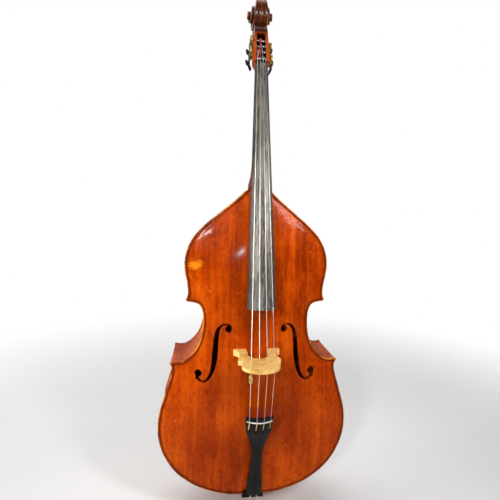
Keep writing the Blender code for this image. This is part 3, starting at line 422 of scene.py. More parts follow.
def string_wrap():
    """Flat-wound steel, with the silk of the ends below the bridge and round the rollers."""
    f = Finish("string_wrap", "string_winding")
    height = f.along("Z")
    inputs = {"Vector": f.stretched((1, 1, 1)), "Scale": 260.0, "Distortion": 0.0}
    turns = f.node("TexWave", inputs, 1, bands_direction="Z")
    steel = f.mix(f.noise((60, 60, 3), 2), (0.82, 0.66, 0.44), (0.92, 0.84, 0.70))
    tail_end, silk_start, silk_end = TAIL_FRET_Z + 3, 397.0, 425.0

    def between(low, high):
        """1 where the height above the body's lower edge lies between the two."""
        low, high = low + FOOT_HEIGHT, high + FOOT_HEIGHT
        rise = f.step(height, (low - 1) * MM, low * MM)
        return f.times(rise, f.step(height, (high + 1) * MM, high * MM))

    colour = f.mix(between(tail_end, silk_start), steel, (0.33, 0.24, 0.36))
    colour = f.mix(between(silk_start, silk_end), colour, (0.90, 0.45, 0.10))
    colour = f.mix(between(280, tail_end), colour, (0.88, 0.62, 0.16))
    at_rollers = (NUT_Z + 12, NUT_Z + 200)
    silk = f.math("MAXIMUM", between(270, silk_end), between(*at_rollers))
    across = f.along("X")
    thread = f.mix(f.step(across, -0.012, -0.006), (0.55, 0.50, 0.44), (0.62, 0.03, 0.05))
    thread = f.mix(f.step(across, 0.0, 0.004), thread, (0.05, 0.42, 0.36))
    thread = f.mix(f.step(across, 0.010, 0.013), thread, (0.48, 0.46, 0.42))
    colour = f.mix(between(*at_rollers), colour, thread)
    f.tree.links.new(f.math("SUBTRACT", 1.0, silk), f.shader.inputs["Metallic"])
    rough = f.ramp(silk, (0.0, 0.3), (1.0, 0.65))
    return f.done(colour, rough, f.bump(turns, 0.04, 0.6))


def ivory():
    """Polished plastic with the faint lines of bone."""
    f = Finish("ivory", "ivory_plastic", coat_weight=0.3, coat_roughness=0.2)
    lines = f.noise((20, 300, 300), 2)
    colour = f.mix(lines, (0.86, 0.84, 0.78), (0.97, 0.96, 0.93))
    return f.done(colour, f.ramp(lines, (0.3, 0.3), (0.7, 0.45)), f.bump(lines, 0.05, 0.3))


def rubber():
    """Black rubber with a little dust."""
    f = Finish("rubber", "rubber", specular_ior_level=0.4)
    dust = f.noise((150, 150, 150), 4, 0.7)
    colour = f.mix(f.step(dust, 0.5, 0.75), (0.014, 0.014, 0.015), (0.075, 0.072, 0.068))
    return f.done(colour, f.ramp(dust, (0.3, 0.6), (0.7, 0.85)), f.bump(dust, 0.2, 0.5))


SPRUCE = spruce_varnish()
# The last colour given to each maple varnish is that of its painted shade
MAPLE = maple_varnish(
    "maple_varnish", light=(0.64, 0.165, 0.055), dark=(0.28, 0.047, 0.016), shade_colour=(0.10, 0.015, 0.005)
)
HEAD = maple_varnish(
    "head_varnish", light=(0.56, 0.085, 0.002), dark=(0.20, 0.018, 0.001), shade_colour=(0.016, 0.003, 0.001),
    flaming=0.12,
)
EBONY = ebony()
# Painted sheen and reflection: far lighter than the other ebony, with bold streaks along the board that
# stand for its long reflections
BOARD = ebony("board_ebony", tint=(0.11, 0.103, 0.095), gloss=0.26, gleam=0.36, streaks=(130, 0.8))
BARE = bare_wood()
BRIDGE = bridge_wood()
BRASS = metal("brass", "brass", (0.66, 0.47, 0.17), (0.16, 0.10, 0.04), 0.26)
STEEL = metal("steel", "steel", (0.72, 0.72, 0.72), (0.35, 0.34, 0.33), 0.18, 0.6)
ROLLER_STEEL = metal("roller_steel", "steel", (0.30, 0.29, 0.28), (0.07, 0.06, 0.055), 0.16, 0.45)
BLACKENED = metal("blackened_brass", "brass", (0.06, 0.045, 0.035), (0.30, 0.20, 0.08), 0.3, 0.6)
STRING = string_wrap()
IVORY = ivory()
RUBBER = rubber()


# ---------------------------------------------------------------- shapes


def added(name, data):
    """A new object in the scene."""
    obj = bpy.data.objects.new(name, data)
    bpy.context.scene.collection.objects.link(obj)
    return obj


def shaded(name, mesh, sharp):
    """A new smooth-shaded object, with sharp edges from that many degrees on."""
    mesh.polygons.foreach_set("use_smooth", [True] * len(mesh.polygons))
    mesh.set_sharp_from_angle(angle=math.radians(sharp))
    return added(name, mesh)


def settle(obj, finish, node, body="instrument"):
    """Gives a new piece its finish and its body, and hides the node that it stands for."""
    obj.data.materials.append(finish.material)
    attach(obj, body)
    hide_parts(node)
    return obj


def solid(name, points, faces, sharp=40, place=world):
    """A smooth-shaded mesh of points in body coordinates, welded and facing out."""
    mesh = bpy.data.meshes.new(name)
    mesh.from_pydata(place(points).tolist(), [], faces)
    shape = bmesh.new()
    shape.from_mesh(mesh)
    bmesh.ops.remove_doubles(shape, verts=shape.verts, dist=2e-6)
    bmesh.ops.recalc_face_normals(shape, faces=shape.faces)
    shape.to_mesh(mesh)
    shape.free()
    return shaded(name, mesh, sharp)


def grid_faces(rows, count, around=True, caps=True):
    """Faces of a skin through rows of points that have count points each."""
    faces = []
    for r in range(rows - 1):
        for i in range(count if around else count - 1):
            a, b = r * count + i, r * count + (i + 1) % count
            faces.append((a, b, b + count, a + count))
    if caps:
        faces += [tuple(range(count))[::-1], tuple((rows - 1) * count + i for i in range(count))]
    return faces


def loft(name, sections, sharp=40, place=world):
    """A closed skin through sections that have equally many points."""
    points = [p for section in sections for p in section]
    return solid(name, points, grid_faces(len(sections), len(sections[0])), sharp, place)


def slab(name, outline, levels, axis=2, place=world):
    """A flat outline carried from one level to the other across an axis."""
    sections = [[(*point[:axis], level, *point[axis:]) for point in outline] for level in levels]
    return loft(name, sections, place=place)


def in_frame(matrix):
    """A place function for points in millimetres in a machine's own frame."""
    turn, move = np.array(matrix.to_3x3()), np.array(matrix.translation)
    return lambda points: np.asarray(points, float) * MM @ turn.T + move


def turned(name, profile, place=world, steps=48, sharp=35):
    """A profile of (radius, height) about the Z axis of its place."""
    points, faces = [], []
    for a in circle(steps):
        points += [(r * math.cos(a), r * math.sin(a), h) for r, h in profile]
    n = len(profile)
    closed = profile[0][0] > 0
    for i in range(steps):
        j = (i + 1) % steps
        for k in range(n if closed else n - 1):
            m = (k + 1) % n
            faces.append((i * n + k, j * n + k, j * n + m, i * n + m))
    return solid(name, points, faces, sharp, place)


def rounded_edges(obj, width, segments=2, angle=30):
    bevel = obj.modifiers.new("edges", "BEVEL")
    bevel.width = width * MM
    bevel.segments = segments
    bevel.limit_method = "ANGLE"
    bevel.angle_limit = math.radians(angle)
    bevel.harden_normals = False
    return obj


def apply_modifiers(obj):
    """Makes what the modifiers show the object's own mesh."""
    graph = bpy.context.evaluated_depsgraph_get()
    bpy.context.view_layer.update()
    mesh = bpy.data.meshes.new_from_object(obj.evaluated_get(graph))
    obj.modifiers.clear()
    obj.data = mesh
    return obj


def far_from_rim(co):
    """A distance that leaves the rim's painted shade, its wear and its purfling out."""
    return np.full(len(co), 99.0)


def mark(obj, **values):
    """Float attributes for the finishes, from functions of body coordinates."""
    mesh = obj.data
    co = np.empty(len(mesh.vertices) * 3, np.float32)
    mesh.vertices.foreach_get("co", co)
    co = co.reshape(-1, 3) / MM - (0, -RIB_DEPTH / 2, FOOT_HEIGHT)
    for key, function in values.items():
        attribute = mesh.attributes.new(key, "FLOAT", "POINT")
        attribute.data.foreach_set("value", np.asarray(function(co), np.float32))
    return obj


def refined(node, finish, width, body="instrument", angle=32):
    """A finer copy of a node: its flat faces merged again and its edges rounded."""
    mesh = NODES[node].data.copy()
    shape = bmesh.new()
    shape.from_mesh(mesh)
    bmesh.ops.remove_doubles(shape, verts=shape.verts, dist=2e-6)
    flat = math.radians(1)
    bmesh.ops.dissolve_limit(shape, angle_limit=flat, verts=shape.verts, edges=shape.edges)
    shape.to_mesh(mesh)
    shape.free()
    mesh.materials.clear()
    obj = rounded_edges(shaded(node + "_finished", mesh, angle), width, 2, angle)
    return settle(obj, finish, node, body)


# ---------------------------------------------------------------- curves of the body


def arc_length(path):
    """Length of the path up to each of its points."""
    return np.concatenate([[0], np.cumsum(np.linalg.norm(np.diff(path, axis=0), axis=1))])


def even(path, count, start=0.0, end=0.0):
    """The path resampled at even steps, leaving start and end millimetres off its ends."""
    s = arc_length(path)
    wanted = np.linspace(start, s[-1] - end, count)
    return np.stack([np.interp(wanted, s, path[:, k]) for k in range(path.shape[1])], 1)


def smooth_path(points, count):
    """count points, evenly spaced, on a Catmull-Rom curve through the points."""
    p = np.array(points, float)
    p = np.vstack([2 * p[0] - p[1], p, 2 * p[-1] - p[-2]])
    dense = []
    for i in range(1, len(p) - 2):
        a, b, c, d = p[i - 1 : i + 3]
        linear, square, cubic = c - a, 2 * a - 5 * b + 4 * c - d, 3 * (b - c) + d - a
        for t in np.linspace(0, 1, 16, endpoint=False):
            dense.append(b + 0.5 * t * (linear + t * (square + t * cubic)))
    return even(np.vstack([dense, p[-2]]), count)


def directions(path):
    along = np.gradient(path, axis=0)
    return along / np.linalg.norm(along, axis=1)[:, None]


def left_of(along):
    return np.stack([-along[:, 1], along[:, 0]], 1)


def inset(path, distance):
    """The path moved inwards, to the left of its direction of travel."""
    return path + distance * left_of(directions(path))


def mirrored(half):
    """The closed outline of a half that starts and ends on the middle line."""
    return np.vstack([half, (half * (-1, 1))[-2:0:-1]])


def circle(count):
    """That many even angles round a circle."""
    return [2 * math.pi * i / count for i in range(count)]


STRETCHES = [smooth_path(s, 240) for s in (LOWER_BOUT, WAIST, UPPER_BOUT)]
HALF = np.vstack([*STRETCHES, [(0, BODY_LENGTH)]])


def edge_distance(points):
    """Distance of points (x, z) from the plates' edge."""
    p = np.array(points, float)
    p[:, 0] = np.abs(p[:, 0])
    a, ab = HALF[:-1], HALF[1:] - HALF[:-1]
    found = []
    for chunk in np.array_split(p, max(1, len(p) // 1500)):
        ap = chunk[:, None, :] - a[None]
        share = np.clip((ap * ab).sum(2) / (ab**2).sum(1), 0, 1)
        found.append(np.linalg.norm(ap - share[..., None] * ab, axis=2).min(1))
    return np.concatenate(found)


def within(points, outline):
    """Which of the points (x, z) lie inside a closed outline."""
    p, o = np.asarray(points, float), np.asarray(outline, float)
    (x0, z0), (x1, z1) = o.T, np.roll(o, -1, axis=0).T
    x, z = p[:, :1], p[:, 1:]
    spans = (z0 > z) != (z1 > z)
    rise = np.where(z1 == z0, 1, z1 - z0)
    crossings = spans & (x0 + (z - z0) / rise * (x1 - x0) > x)
    return crossings.sum(1) % 2 == 1


def back_rim(z):
    """Y of the back plate's outer rim, which closes in towards the neck."""
    share = np.clip((np.asarray(z, float) - TAPER_START) / (BODY_LENGTH - TAPER_START), 0, 1)
    return RIB_DEPTH - (RIB_DEPTH - NECK_END_DEPTH) * share**1.6


def sound_hole_outlines(side):
    """The stem and the two eyes of a sound hole, as closed outlines."""
    path = smooth_path(F_STEM, 90)
    across = left_of(directions(path[:, :2])) * path[:, 2:3]
    outlines = [np.vstack([path[:, :2] + across, (path[:, :2] - across)[::-1]])]
    turn = np.linspace(0, 2 * math.pi, 40, endpoint=False)
    for x, z, radius in F_EYES:
        outlines.append(np.stack([x + radius * np.cos(turn), z + radius * np.sin(turn)], 1))
    return [outline * (side, 1) for outline in outlines]


# ---------------------------------------------------------------- plates and ribs


def plate_points(outline, holes):
    """Points (x, z) over a plate: rows at even distances from its edge, then a lattice in the middle."""
    levels = (4.5, 7, 10, 14, 19, 25, 33, 42)
    spacings = (6, 7, 8, 9, 10, 11, 11, 11)
    kept = []
    for level, spacing in zip(levels, spacings):
        for stretch in STRETCHES:
            count = max(6, int(arc_length(stretch)[-1] / spacing))
            path = even(inset(stretch, level), count, 2, 2)
            path = np.vstack([path, path * (-1, 1)])
            kept.append(path[edge_distance(path) > level - 0.4])
    column, row = 12.0, 11.0
    xs = np.arange(-330, 331, column)
    rows = []
    for i, z in enumerate(np.arange(50, 1100, row)):
        rows.append(np.stack([xs + column / 2 * (i % 2), np.full(len(xs), z)], 1))
    lattice = np.vstack(rows)
    kept.append(lattice[edge_distance(lattice) > 48])
    flat = np.vstack(kept)
    flat = flat[within(flat, outline)]
    for hole in holes:
        apart = np.linalg.norm(flat[:, None] - hole[None], axis=2).min(1)
        flat = flat[apart > 2.0]
    return flat


def directed_edges(faces):
    return np.vstack([faces[:, [0, 1]], faces[:, [1, 2]], faces[:, [2, 0]]])


def smoothed(rise, faces, rim):
    """The rise of an arch relaxed over the plate away from its edge."""
    links = directed_edges(faces)
    links = np.vstack([links, links[:, ::-1]])
    degree = np.bincount(links[:, 0], minlength=len(rise)).clip(1)
    free = 0.7 * np.clip((rim - 12) / 30, 0, 1)
    for _ in range(30):
        mean = np.bincount(links[:, 0], rise[links[:, 1]], len(rise)) / degree
        rise = rise + free * (mean - rise)
    return rise


def open_edges(faces):
    """Directed edges that only one triangle has."""
    found = set()
    for a, b in directed_edges(faces).tolist():
        if (b, a) in found:
            found.remove((b, a))
        else:
            found.add((a, b))
    return found


def plate_outline(end):
    """The closed outline of a plate, and at each of its points the way inwards.

    end closes half of it at the neck."""
    half = np.vstack([even(s, n) for s, n in zip(STRETCHES, (190, 100, 150))] + [end])
    outline = mirrored(half)
    ahead, behind = np.roll(outline, -1, 0) - outline, outline - np.roll(outline, 1, 0)
    ahead, behind = (v / np.maximum(np.linalg.norm(v, axis=1), 1e-9)[:, None] for v in (ahead, behind))
    mitre = ahead + behind
    return outline, left_of(mitre / np.maximum(np.linalg.norm(mitre, axis=1), 0.3)[:, None])


def plate_mesh(outline, border, holes):
    """Triangles over a plate: points (x, z), faces and the indices of the border's points."""
    count = len(border)
    flat = np.vstack([border, plate_points(outline, holes)])
    edges = []
    for hole in holes:
        start = len(flat)
        edges += [(start + i, start + (i + 1) % len(hole)) for i in range(len(hole))]
        flat = np.vstack([flat, hole])
    flat = [Vector(p) for p in flat]
    verts, _, faces, origin, *_ = delaunay_2d_cdt(flat, edges, [list(range(count))], 1, 1e-5)
    verts, faces = np.array([tuple(v) for v in verts]), np.array(faces)
    for hole in holes:
        faces = faces[~within(verts[faces].mean(1), hole)]
    found = {i: out for out, sources in enumerate(origin) for i in sources}
    return verts, faces, [found[i] for i in range(count)]


def plate(name, end, height, holes, finish, node, figure):
    """An arched plate with a rounded edge, a shallow channel inside it and openings.

    height gives the Y of both faces from the arch's rise at them, and which way is outwards. The arch
    is relaxed, so that reflections run without a kink."""
    outline, inwards = plate_outline(end)
    count = len(outline)
    verts, faces, border = plate_mesh(outline, outline + inwards * 2.6, holes)
    rim = edge_distance(verts)
    rises = []
    for start in (8, 14):
        arch = 1 - np.exp(-((np.maximum(0, rim - start) / 75) ** 1.5))
        rises.append(smoothed(arch, faces, rim))
    channel = 0.9 * np.exp(-(((rim - 11) / 6) ** 2)) - 0.5 * np.exp(-((rim - 4) ** 2) / 6)
    outside, inside, out = height(*rises, verts[:, 1])
    outside = outside - out * channel
    total = len(verts)
    points = [np.stack([verts[:, 0], y, verts[:, 1]], 1) for y in (outside, inside)]
    layers = faces.tolist() + (faces[:, ::-1] + total).tolist()
    on_border = set(border)
    for a, b in open_edges(faces):
        if not (a in on_border and b in on_border):
            layers.append((a, b, b + total, a + total))

    flat = np.zeros(count)
    face_y, inner_y, _ = height(flat, flat, outline[:, 1])
    rings = [border]
    start = 2 * total
    for distance, share in ((1.0, 0.12), (0.15, 0.34), (0.15, 0.66), (1.0, 0.9)):
        x, z = (outline + inwards * distance).T
        points.append(np.stack([x, face_y + (inner_y - face_y) * share, z], 1))
        rings.append(range(start, start + count))
        start += count
    rings.append([i + total for i in border])
    for near, far in zip(rings, rings[1:]):
        for i in range(count):
            j = (i + 1) % count
            layers.append((near[i], near[j], far[j], far[i]))
    piece = solid(name, np.vstack(points), layers, sharp=55)
    mark(piece, rim=lambda co: edge_distance(co[:, [0, 2]]), figure=figure)
    return settle(piece, finish, node)


def plates():
    """The back and the belly. Gives back the belly."""

    def belly(rise, inner_rise, z):
        return -BELLY_ARCH * rise, RIM - (BELLY_ARCH - PLATE + RIM) * inner_rise, -1

    def back(rise, inner_rise, z):
        edge = back_rim(z)
        return edge + BACK_ARCH * rise, edge - RIM + (BACK_ARCH - PLATE + RIM) * inner_rise, 1

    def falling_flames(co):
        return (co[:, 2] + 0.35 * np.abs(co[:, 0])) * MM

    holes = [outline for side in (-1, 1) for outline in sound_hole_outlines(side)]
    plate("back", smooth_path(BUTTON, 24), back, [], MAPLE, "back_plate", falling_flames)
    return plate("belly", [(0, BODY_LENGTH)], belly, holes, SPRUCE, "top_plate", lambda co: co[:, 0] * MM)


def ribs():
    for name, stretch, trims in (("lower", 0, (0, 1)), ("waist", 1, (1, 1)), ("upper", 2, (1, 1))):
        path = even(STRETCHES[stretch], 120, *trims)
        way = arc_length(path)
        outer, inner = inset(path, OVERHANG), inset(path, OVERHANG + RIB)
        front, back = RIM - 0.6, back_rim(path[:, 1]) - RIM + 0.6

        def along(co, way=way, middle=outer):
            flat = np.stack([np.abs(co[:, 0]), co[:, 2]], 1)
            nearest = np.argmin(np.linalg.norm(flat[:, None] - middle[None], axis=2), axis=1)
            return (way[nearest] + 0.12 * co[:, 1]) * MM

        # Distance from the plates, which paints shade on the ribs where they meet them
        def from_plates(co):
            return np.minimum(co[:, 1], back_rim(co[:, 2]) - co[:, 1]) + 9

        for side, label in ((-1, "left"), (1, "right")):
            sections = []
            for (ox, oz), (ix, iz), b in zip(outer, inner, back):
                levels = (front, front + 14, front + 30, b - 30, b - 14, b)
                section = [(side * ox, y, oz) for y in levels]
                sections.append(section + [(side * ix, b, iz), (side * ix, front, iz)])
            piece = loft(f"rib_{name}_{label}_finished", sections, sharp=60)
            mark(piece, figure=along, rim=from_plates)
            settle(piece, MAPLE, f"rib_{name}_{label}")


# ---------------------------------------------------------------- neck and head


def smooth_table(rows, at):
    """The other columns of a table at new values of its first one, by monotone cubics."""
    rows = np.asarray(rows, float)
    x, y = rows[:, 0], rows[:, 1:]
    at = np.asarray(at, float)
    step = np.diff(x)[:, None]
    slope = np.diff(y, axis=0) / step
    same = slope[:-1] * slope[1:] > 0
    total = np.where(same, slope[:-1] + slope[1:], 1)
    middle = np.where(same, 2 * slope[:-1] * slope[1:] / total, 0)
    tangent = np.vstack([slope[:1], middle, slope[-1:]])
    i = np.clip(np.searchsorted(x, at, side="right") - 1, 0, len(x) - 2)
    h = step[i]
    t = (at - x[i])[:, None] / h
    start = (1 + 2 * t) * (1 - t) ** 2 * y[i] + t * (1 - t) ** 2 * h * tangent[i]
    end = t**2 * (3 - 2 * t) * y[i + 1] + t**2 * (t - 1) * h * tangent[i + 1]
    return (start + end).T


def carve(obj, *cutters):
    """Takes the cutters' shapes out of the object, and the cutters out of the scene."""
    for cutter in cutters:
        modifier = obj.modifiers.new("cut", "BOOLEAN")
        modifier.object = cutter
        modifier.operation = "DIFFERENCE"
        modifier.solver = "EXACT"
    apply_modifiers(obj)
    for cutter in cutters:
        bpy.data.objects.remove(cutter)
    obj.data.set_sharp_from_angle(angle=math.radians(35))
    return obj


def drill(start, end, radius, place=world):
    """A cylinder that cuts a hole."""
    start, end = Vector(start), Vector(end)
    turn = (end - start).to_track_quat("Z", "Y").to_matrix()
    ring = [turn @ Vector((radius * math.cos(a), radius * math.sin(a), 0)) for a in circle(40)]
    return loft("drill", [[tuple(centre + p) for p in ring] for centre in (start, end)], place=place)


def board_width(z):
    return NUT_WIDTH + (BOARD_END_WIDTH - NUT_WIDTH) * (NUT_Z - z) / BOARD_LENGTH


def board_crown(z):
    """Y of the board's face along its middle line."""
    return NUT_STRING_Y + 1.0 - CROWN_SLOPE * (NUT_Z - z)


def board_underside(z):
    return NUT_STRING_Y + 16.6 - UNDERSIDE_SLOPE * (NUT_Z - z)


def camber(x):
    """How far the board, the nut and the bridge fall back beside their middle line."""
    return CAMBER_RADIUS - np.sqrt(CAMBER_RADIUS**2 - np.square(x))


def pegbox_front(z):
    return 20 + PEGBOX_SLOPE * (z - NUT_Z)


def rounded(z, half, front, back, power, flute=0.0):
    """A section of the neck: flat in front with eased corners, and a rounded back that can be fluted."""
    section = [(half - 1.6, front, z), (half - 0.5, front + 0.5, z)]
    for angle in np.linspace(0, math.pi, 45):
        c, s = math.cos(angle), math.sin(angle)
        x = half * math.copysign(abs(c) ** (2 / power), c)
        y = front + 1.6 + (back - front - 1.6) * max(s, 0.0) ** (2 / power)
        across = min(1.0, abs(x) / (0.84 * half))
        if s > 0.4:
            y -= flute * math.sin(math.pi * across) ** 0.8
        section.append((x, y, z))
    return section + [(-half + 0.5, front + 0.5, z), (-half + 1.6, front, z)]


def neck_shaft():
    """The heel and the neck up to the nut."""
    runs = ((1111, 1190, 46), (1195, 1520, 30), (1526, 1576, 26))
    zs = np.concatenate([np.linspace(*run) for run in runs])
    sections = []
    for z, half, back, power in zip(zs, *smooth_table(NECK_SHAFT, zs)):
        front = board_underside(min(z, NUT_Z)) + 0.2
        sections.append(rounded(z, half, front, back, power))
    piece = loft("neck_shaft", sections)
    mark(piece, rim=far_from_rim, figure=lambda co: (co[:, 2] + 0.4 * co[:, 0]) * MM)
    settle(piece, HEAD, "neck")


def neck_tenon():
    """The end of the heel that is let into the neck's block, seen between the heel and the ribs."""
    corners = ((28, RIM + 0.5), (28, 149), (-28, 149), (-28, RIM + 0.5))
    piece = slab("neck_tenon", corners, (1092, 1113))
    mark(piece, rim=far_from_rim, figure=lambda co: co[:, 2] * MM)
    settle(piece, HEAD, "neck")


def machine_frame(place, side):
    """Axes of one machine on its cheek: X along the roller and outwards, Z up the cheek, Y across it."""
    z = NUT_Z + place / math.hypot(1, PEGBOX_SLOPE)
    (_, low), (span, high) = PEGBOX_HALF_WIDTHS
    taper = (low - high) / span
    half = low - taper * place
    lean = math.atan(PEGBOX_SLOPE)
    up = Vector((-side * taper, math.sin(lean), math.cos(lean))).normalized()
    inwards = Vector((0, math.cos(lean), -math.sin(lean)))
    out = (inwards * side).cross(up).normalized()
    across = up.cross(out)
    middle = Vector((side * half, pegbox_front(z), z)) + inwards * ROLLER_DEPTH
    frame = Matrix((out, across, up)).transposed().to_4x4()
    frame.translation = Vector(world(middle))
    return frame


def roller_span(place):
    """Length of a roller that lies that far up from the nut."""
    return 2 * np.interp(place, *zip(*PEGBOX_HALF_WIDTHS)) - 5


def pegbox():
    """The pegbox, open in front, with a hole for each roller. Its back runs out into the scroll's."""
    zs = np.concatenate([np.linspace(1575.2, 1695, 50), np.linspace(1697, 1757, 31)])
    sections = [rounded(z, h, f, b, 5, d) for z, h, f, b, d in zip(zs, *smooth_table(PEGBOX, zs))]
    piece = loft("pegbox", sections)
    cavity = []
    for z, half, back in ((1576.5, 18.5, 64), (1640, 17.5, 79), (1689, 15.5, 95)):
        front = pegbox_front(z)
        side = [(half + 13.2, front - 12), (half, front + 1.2), (half, back - 4), (half - 4, back)]
        cavity.append([(x, y, z) for x, y in side] + [(-x, y, z) for x, y in side[::-1]])
    cutters = [loft("cavity", cavity)]
    for _, place, side in ROLLERS:
        frame = machine_frame(place, side)
        far = roller_span(place) + 0.6
        cutters.append(drill((10, 0, 0), (-far, 0, 0), ROLLER_RADIUS + 0.6, in_frame(frame)))
    carve(piece, *cutters)

    def recess(co):
        """Painted shade: dark in the cavity and in the throat above it, and darker towards the scroll."""
        x, y, z = co.T
        behind_front = y - pegbox_front(z)
        inside = (np.abs(x) < 18.5) & (behind_front > 3) & (z < 1690) & (y < 96)
        rise = np.clip((z - 1640) / 62, 0, 1)
        throat = np.clip((z - 1684) / 12, 0, 1) * np.clip((28 - behind_front) / 14, 0, 1)
        return np.maximum(inside, np.maximum(0.85 * rise * rise, throat))

    mark(piece, rim=far_from_rim, recess=recess, figure=lambda co: (co[:, 2] + 0.3 * co[:, 1]) * MM)
    settle(piece, HEAD, "neck")


def scroll_radius(turn):
    """Radius of the spiral after that many turns. It runs into the button at the eye in the third one."""
    if turn > 2.5:
        return SCROLL_EYE + (BUTTON_RADIUS - SCROLL_EYE) * fade(turn, 2.5, 2.95)
    return SCROLL_EYE + (SCROLL_RADIUS - SCROLL_EYE) * (1 - turn / 2.5) ** 1.2


def scroll_half_width(turn):
    return float(np.interp(turn, *zip(*SCROLL_HALF_WIDTHS)))


def fade(value, start, end):
    """0 at start, 1 at end and straight between. start may be the larger."""
    return float(np.clip((value - start) / (end - start), 0, 1))


def scroll_profile(share):
    """Half of the scroll's section in a plane through its axis.

    Each point is (distance along the axis, radius, how much its edge is rubbed, how deep it lies)."""
    widths = [scroll_half_width(level + share) for level in range(4)]
    radii = [scroll_radius(level + share) for level in range(3)] + [BUTTON_RADIUS]
    depth = 3.2 * fade(share, 0.0, 0.08) * fade(share, 0.95, 0.75)
    profile = []
    for u in np.linspace(0, 0.84, 13):
        dip = math.sin(math.pi * u / 0.84) ** 0.8
        profile.append((u * widths[0], radii[0] - depth * dip, 0.5 * (u == 0), 0.5 * dip))
    for level, (width, radius) in enumerate(zip(widths, radii)):
        if level:
            near = widths[level - 1]
            run = width - near
            hollow = 0.8 * fade(level - 1 + share, 0, 0.1) * fade(run, 2, 8)
            profile.append((near + 0.1 * run, radius + 2.2, 0, 1))
            profile.append((near + 0.2 * run, radius + 0.6, 0, 1))
            profile.append((near + 0.35 * run, radius - 0.5 * hollow, 0, 0.8))
            profile.append((near + 0.6 * run, radius - hollow, 0, 0.4))
        ease = min(2.0, 0.3 * (width - (widths[level - 1] if level else 0)) + 0.2)
        profile += [(width - ease, radius, 0.6, 0), (width - 0.35 * ease, radius - 0.2 * ease, 1, 0)]
        profile.append((width, radius - 0.9 * ease, 1, 0))
        if level < 3:
            fall = radius - 0.9 * ease - radii[level + 1] - 3
            profile.append((width - 0.6, radius - 0.9 * ease - 0.3 * fall, 0, 0.4))
            profile.append((width - 0.5, radius - 0.9 * ease - 0.7 * fall, 0, 0.8))
    end = widths[3]
    return profile + [(end + 0.6, 9.5, 0.5, 0), (end + 1.0, 5, 0.2, 0), (end + 1.1, 0, 0, 0)]


def scroll():
    """Three turns of a spiral band, each wider than the one outside it, with flutes on the outermost."""
    steps = 120
    points, rubbed, recess = [], [], []
    for i in range(steps + 1):
        share = i / steps
        angle = 2 * math.pi * share
        half = scroll_profile(share)
        for x, radius, edge, deep in [(-x, *rest) for x, *rest in half[:0:-1]] + half:
            points.append((x, SCROLL_Y + radius * math.sin(angle), SCROLL_Z - radius * math.cos(angle)))
            rubbed.append(edge)
            # Painted shade: darker on the scroll's front, underside and back than over its top, and darker
            # still in its hollows
            dark = 0.05 + 0.8 * fade(share, 0.5, 0.68) + 0.8 * fade(share, 0.45, 0.3)
            recess.append(dark + (1 - dark) * deep)
    count = len(points) // (steps + 1)
    piece = solid("scroll", points, grid_faces(steps + 1, count, around=False, caps=False), sharp=32)
    tree = KDTree(len(points))
    for i, place in enumerate(world(points)):
        tree.insert(place, i)
    tree.balance()
    nearest = [tree.find(vertex.co)[1] for vertex in piece.data.vertices]
    mark(
        piece,
        rim=far_from_rim,
        rubbed=lambda co: np.array(rubbed)[nearest],
        recess=lambda co: np.array(recess)[nearest],
        figure=lambda co: np.arctan2(co[:, 1] - SCROLL_Y, SCROLL_Z - co[:, 2]) * 0.06,
    )
    settle(piece, HEAD, "neck")


def fingerboard():
    """Cambered, with a flat under the lowest string, and hollowed out underneath past the body's edge."""
    end, hollow_top = NUT_Z - BOARD_LENGTH, BODY_LENGTH - 70
    zs = [end, end + 0.5, end + 1.5, *np.linspace(end + 4, hollow_top, 24), hollow_top + 0.02]
    zs += [*np.linspace(hollow_top + 5, NUT_Z - 0.6, 34), NUT_Z - 0.2]
    sections = []
    for z in zs:
        ease = max(0.0, 1 - (z - end) / 1.5) * 1.2
        half = board_width(z) / 2 - ease * 0.5
        facet = -0.40 * half
        low = board_underside(z)
        xs = np.concatenate([np.linspace(-half + 0.9, facet, 8), np.linspace(facet + 2.5, half - 0.9, 22)])
        top = camber(xs)
        flat = xs < facet + 0.1
        chord = np.interp(xs, [-half, facet], [camber(-half), camber(facet)])
        top = np.where(flat, chord, top) + board_crown(z) + ease
        edge = camber(half) + board_crown(z) + ease
        over = [(-half, edge + 1.2, z), *((x, y, z) for x, y in zip(xs, top)), (half, edge + 1.2, z)]
        cut_half = half - 9
        depth = np.interp(z, [end - 5, hollow_top], [9, 3]) if z <= hollow_top else 0.0
        under = [(half, low - 0.8, z), (half - 0.8, low, z), (cut_half, low, z)]
        under += [(cut_half * s, low - depth * (1 - abs(s) ** 5), z) for s in np.linspace(0.98, -0.98, 13)]
        under += [(-cut_half, low, z), (-half + 0.8, low, z), (-half, low - 0.8, z)]
        sections.append(over + under)
    piece = loft("fingerboard_finished", sections, sharp=28)
    mark(piece, unworn=lambda co: [2 * abs(x) / board_width(z) for x, _, z in co])
    settle(piece, BOARD, "fingerboard")


def string_x(index, z):
    """X of a string, which fans out from the nut to the bridge."""
    fan = (BRIDGE_SPACING - NUT_SPACING) * (NUT_Z - z) / STRING_LENGTH
    return (NUT_SPACING + fan) * (index - 1.5)


def nut():
    """The nut, grooved for the strings and rounded over."""
    half = NUT_WIDTH / 2
    xs = np.linspace(-half, half, 139)
    top = NUT_STRING_Y + camber(xs) - 0.7
    for index, (_, diameter) in enumerate(STRINGS):
        near = np.abs(xs - string_x(index, NUT_Z)) < diameter / 2 + 0.25
        top = np.where(near, NUT_STRING_Y + camber(xs) + 0.2, top)
    seat = board_underside(NUT_Z)
    # height above the board's end, drop of the top, narrowing of the sides
    levels = (
        (0.2, 0.9, 0.5), (0.5, 0.35, 0.15), (1.2, 0, 0), (4.5, 0.1, 0), (6.6, 0.7, 0.2), (8, 2.2, 0.7),
    )
    sections = []
    for up, drop, narrow in levels:
        shrink, z = (half - narrow) / half, NUT_Z + up
        section = [(x * shrink, y + drop, z) for x, y in zip(xs, top)]
        sections.append(section + [(half - narrow, seat, z), (-half + narrow, seat, z)])
    settle(loft("nut_finished", sections, sharp=30), EBONY, "nut")


# ---------------------------------------------------------------- tuning machines


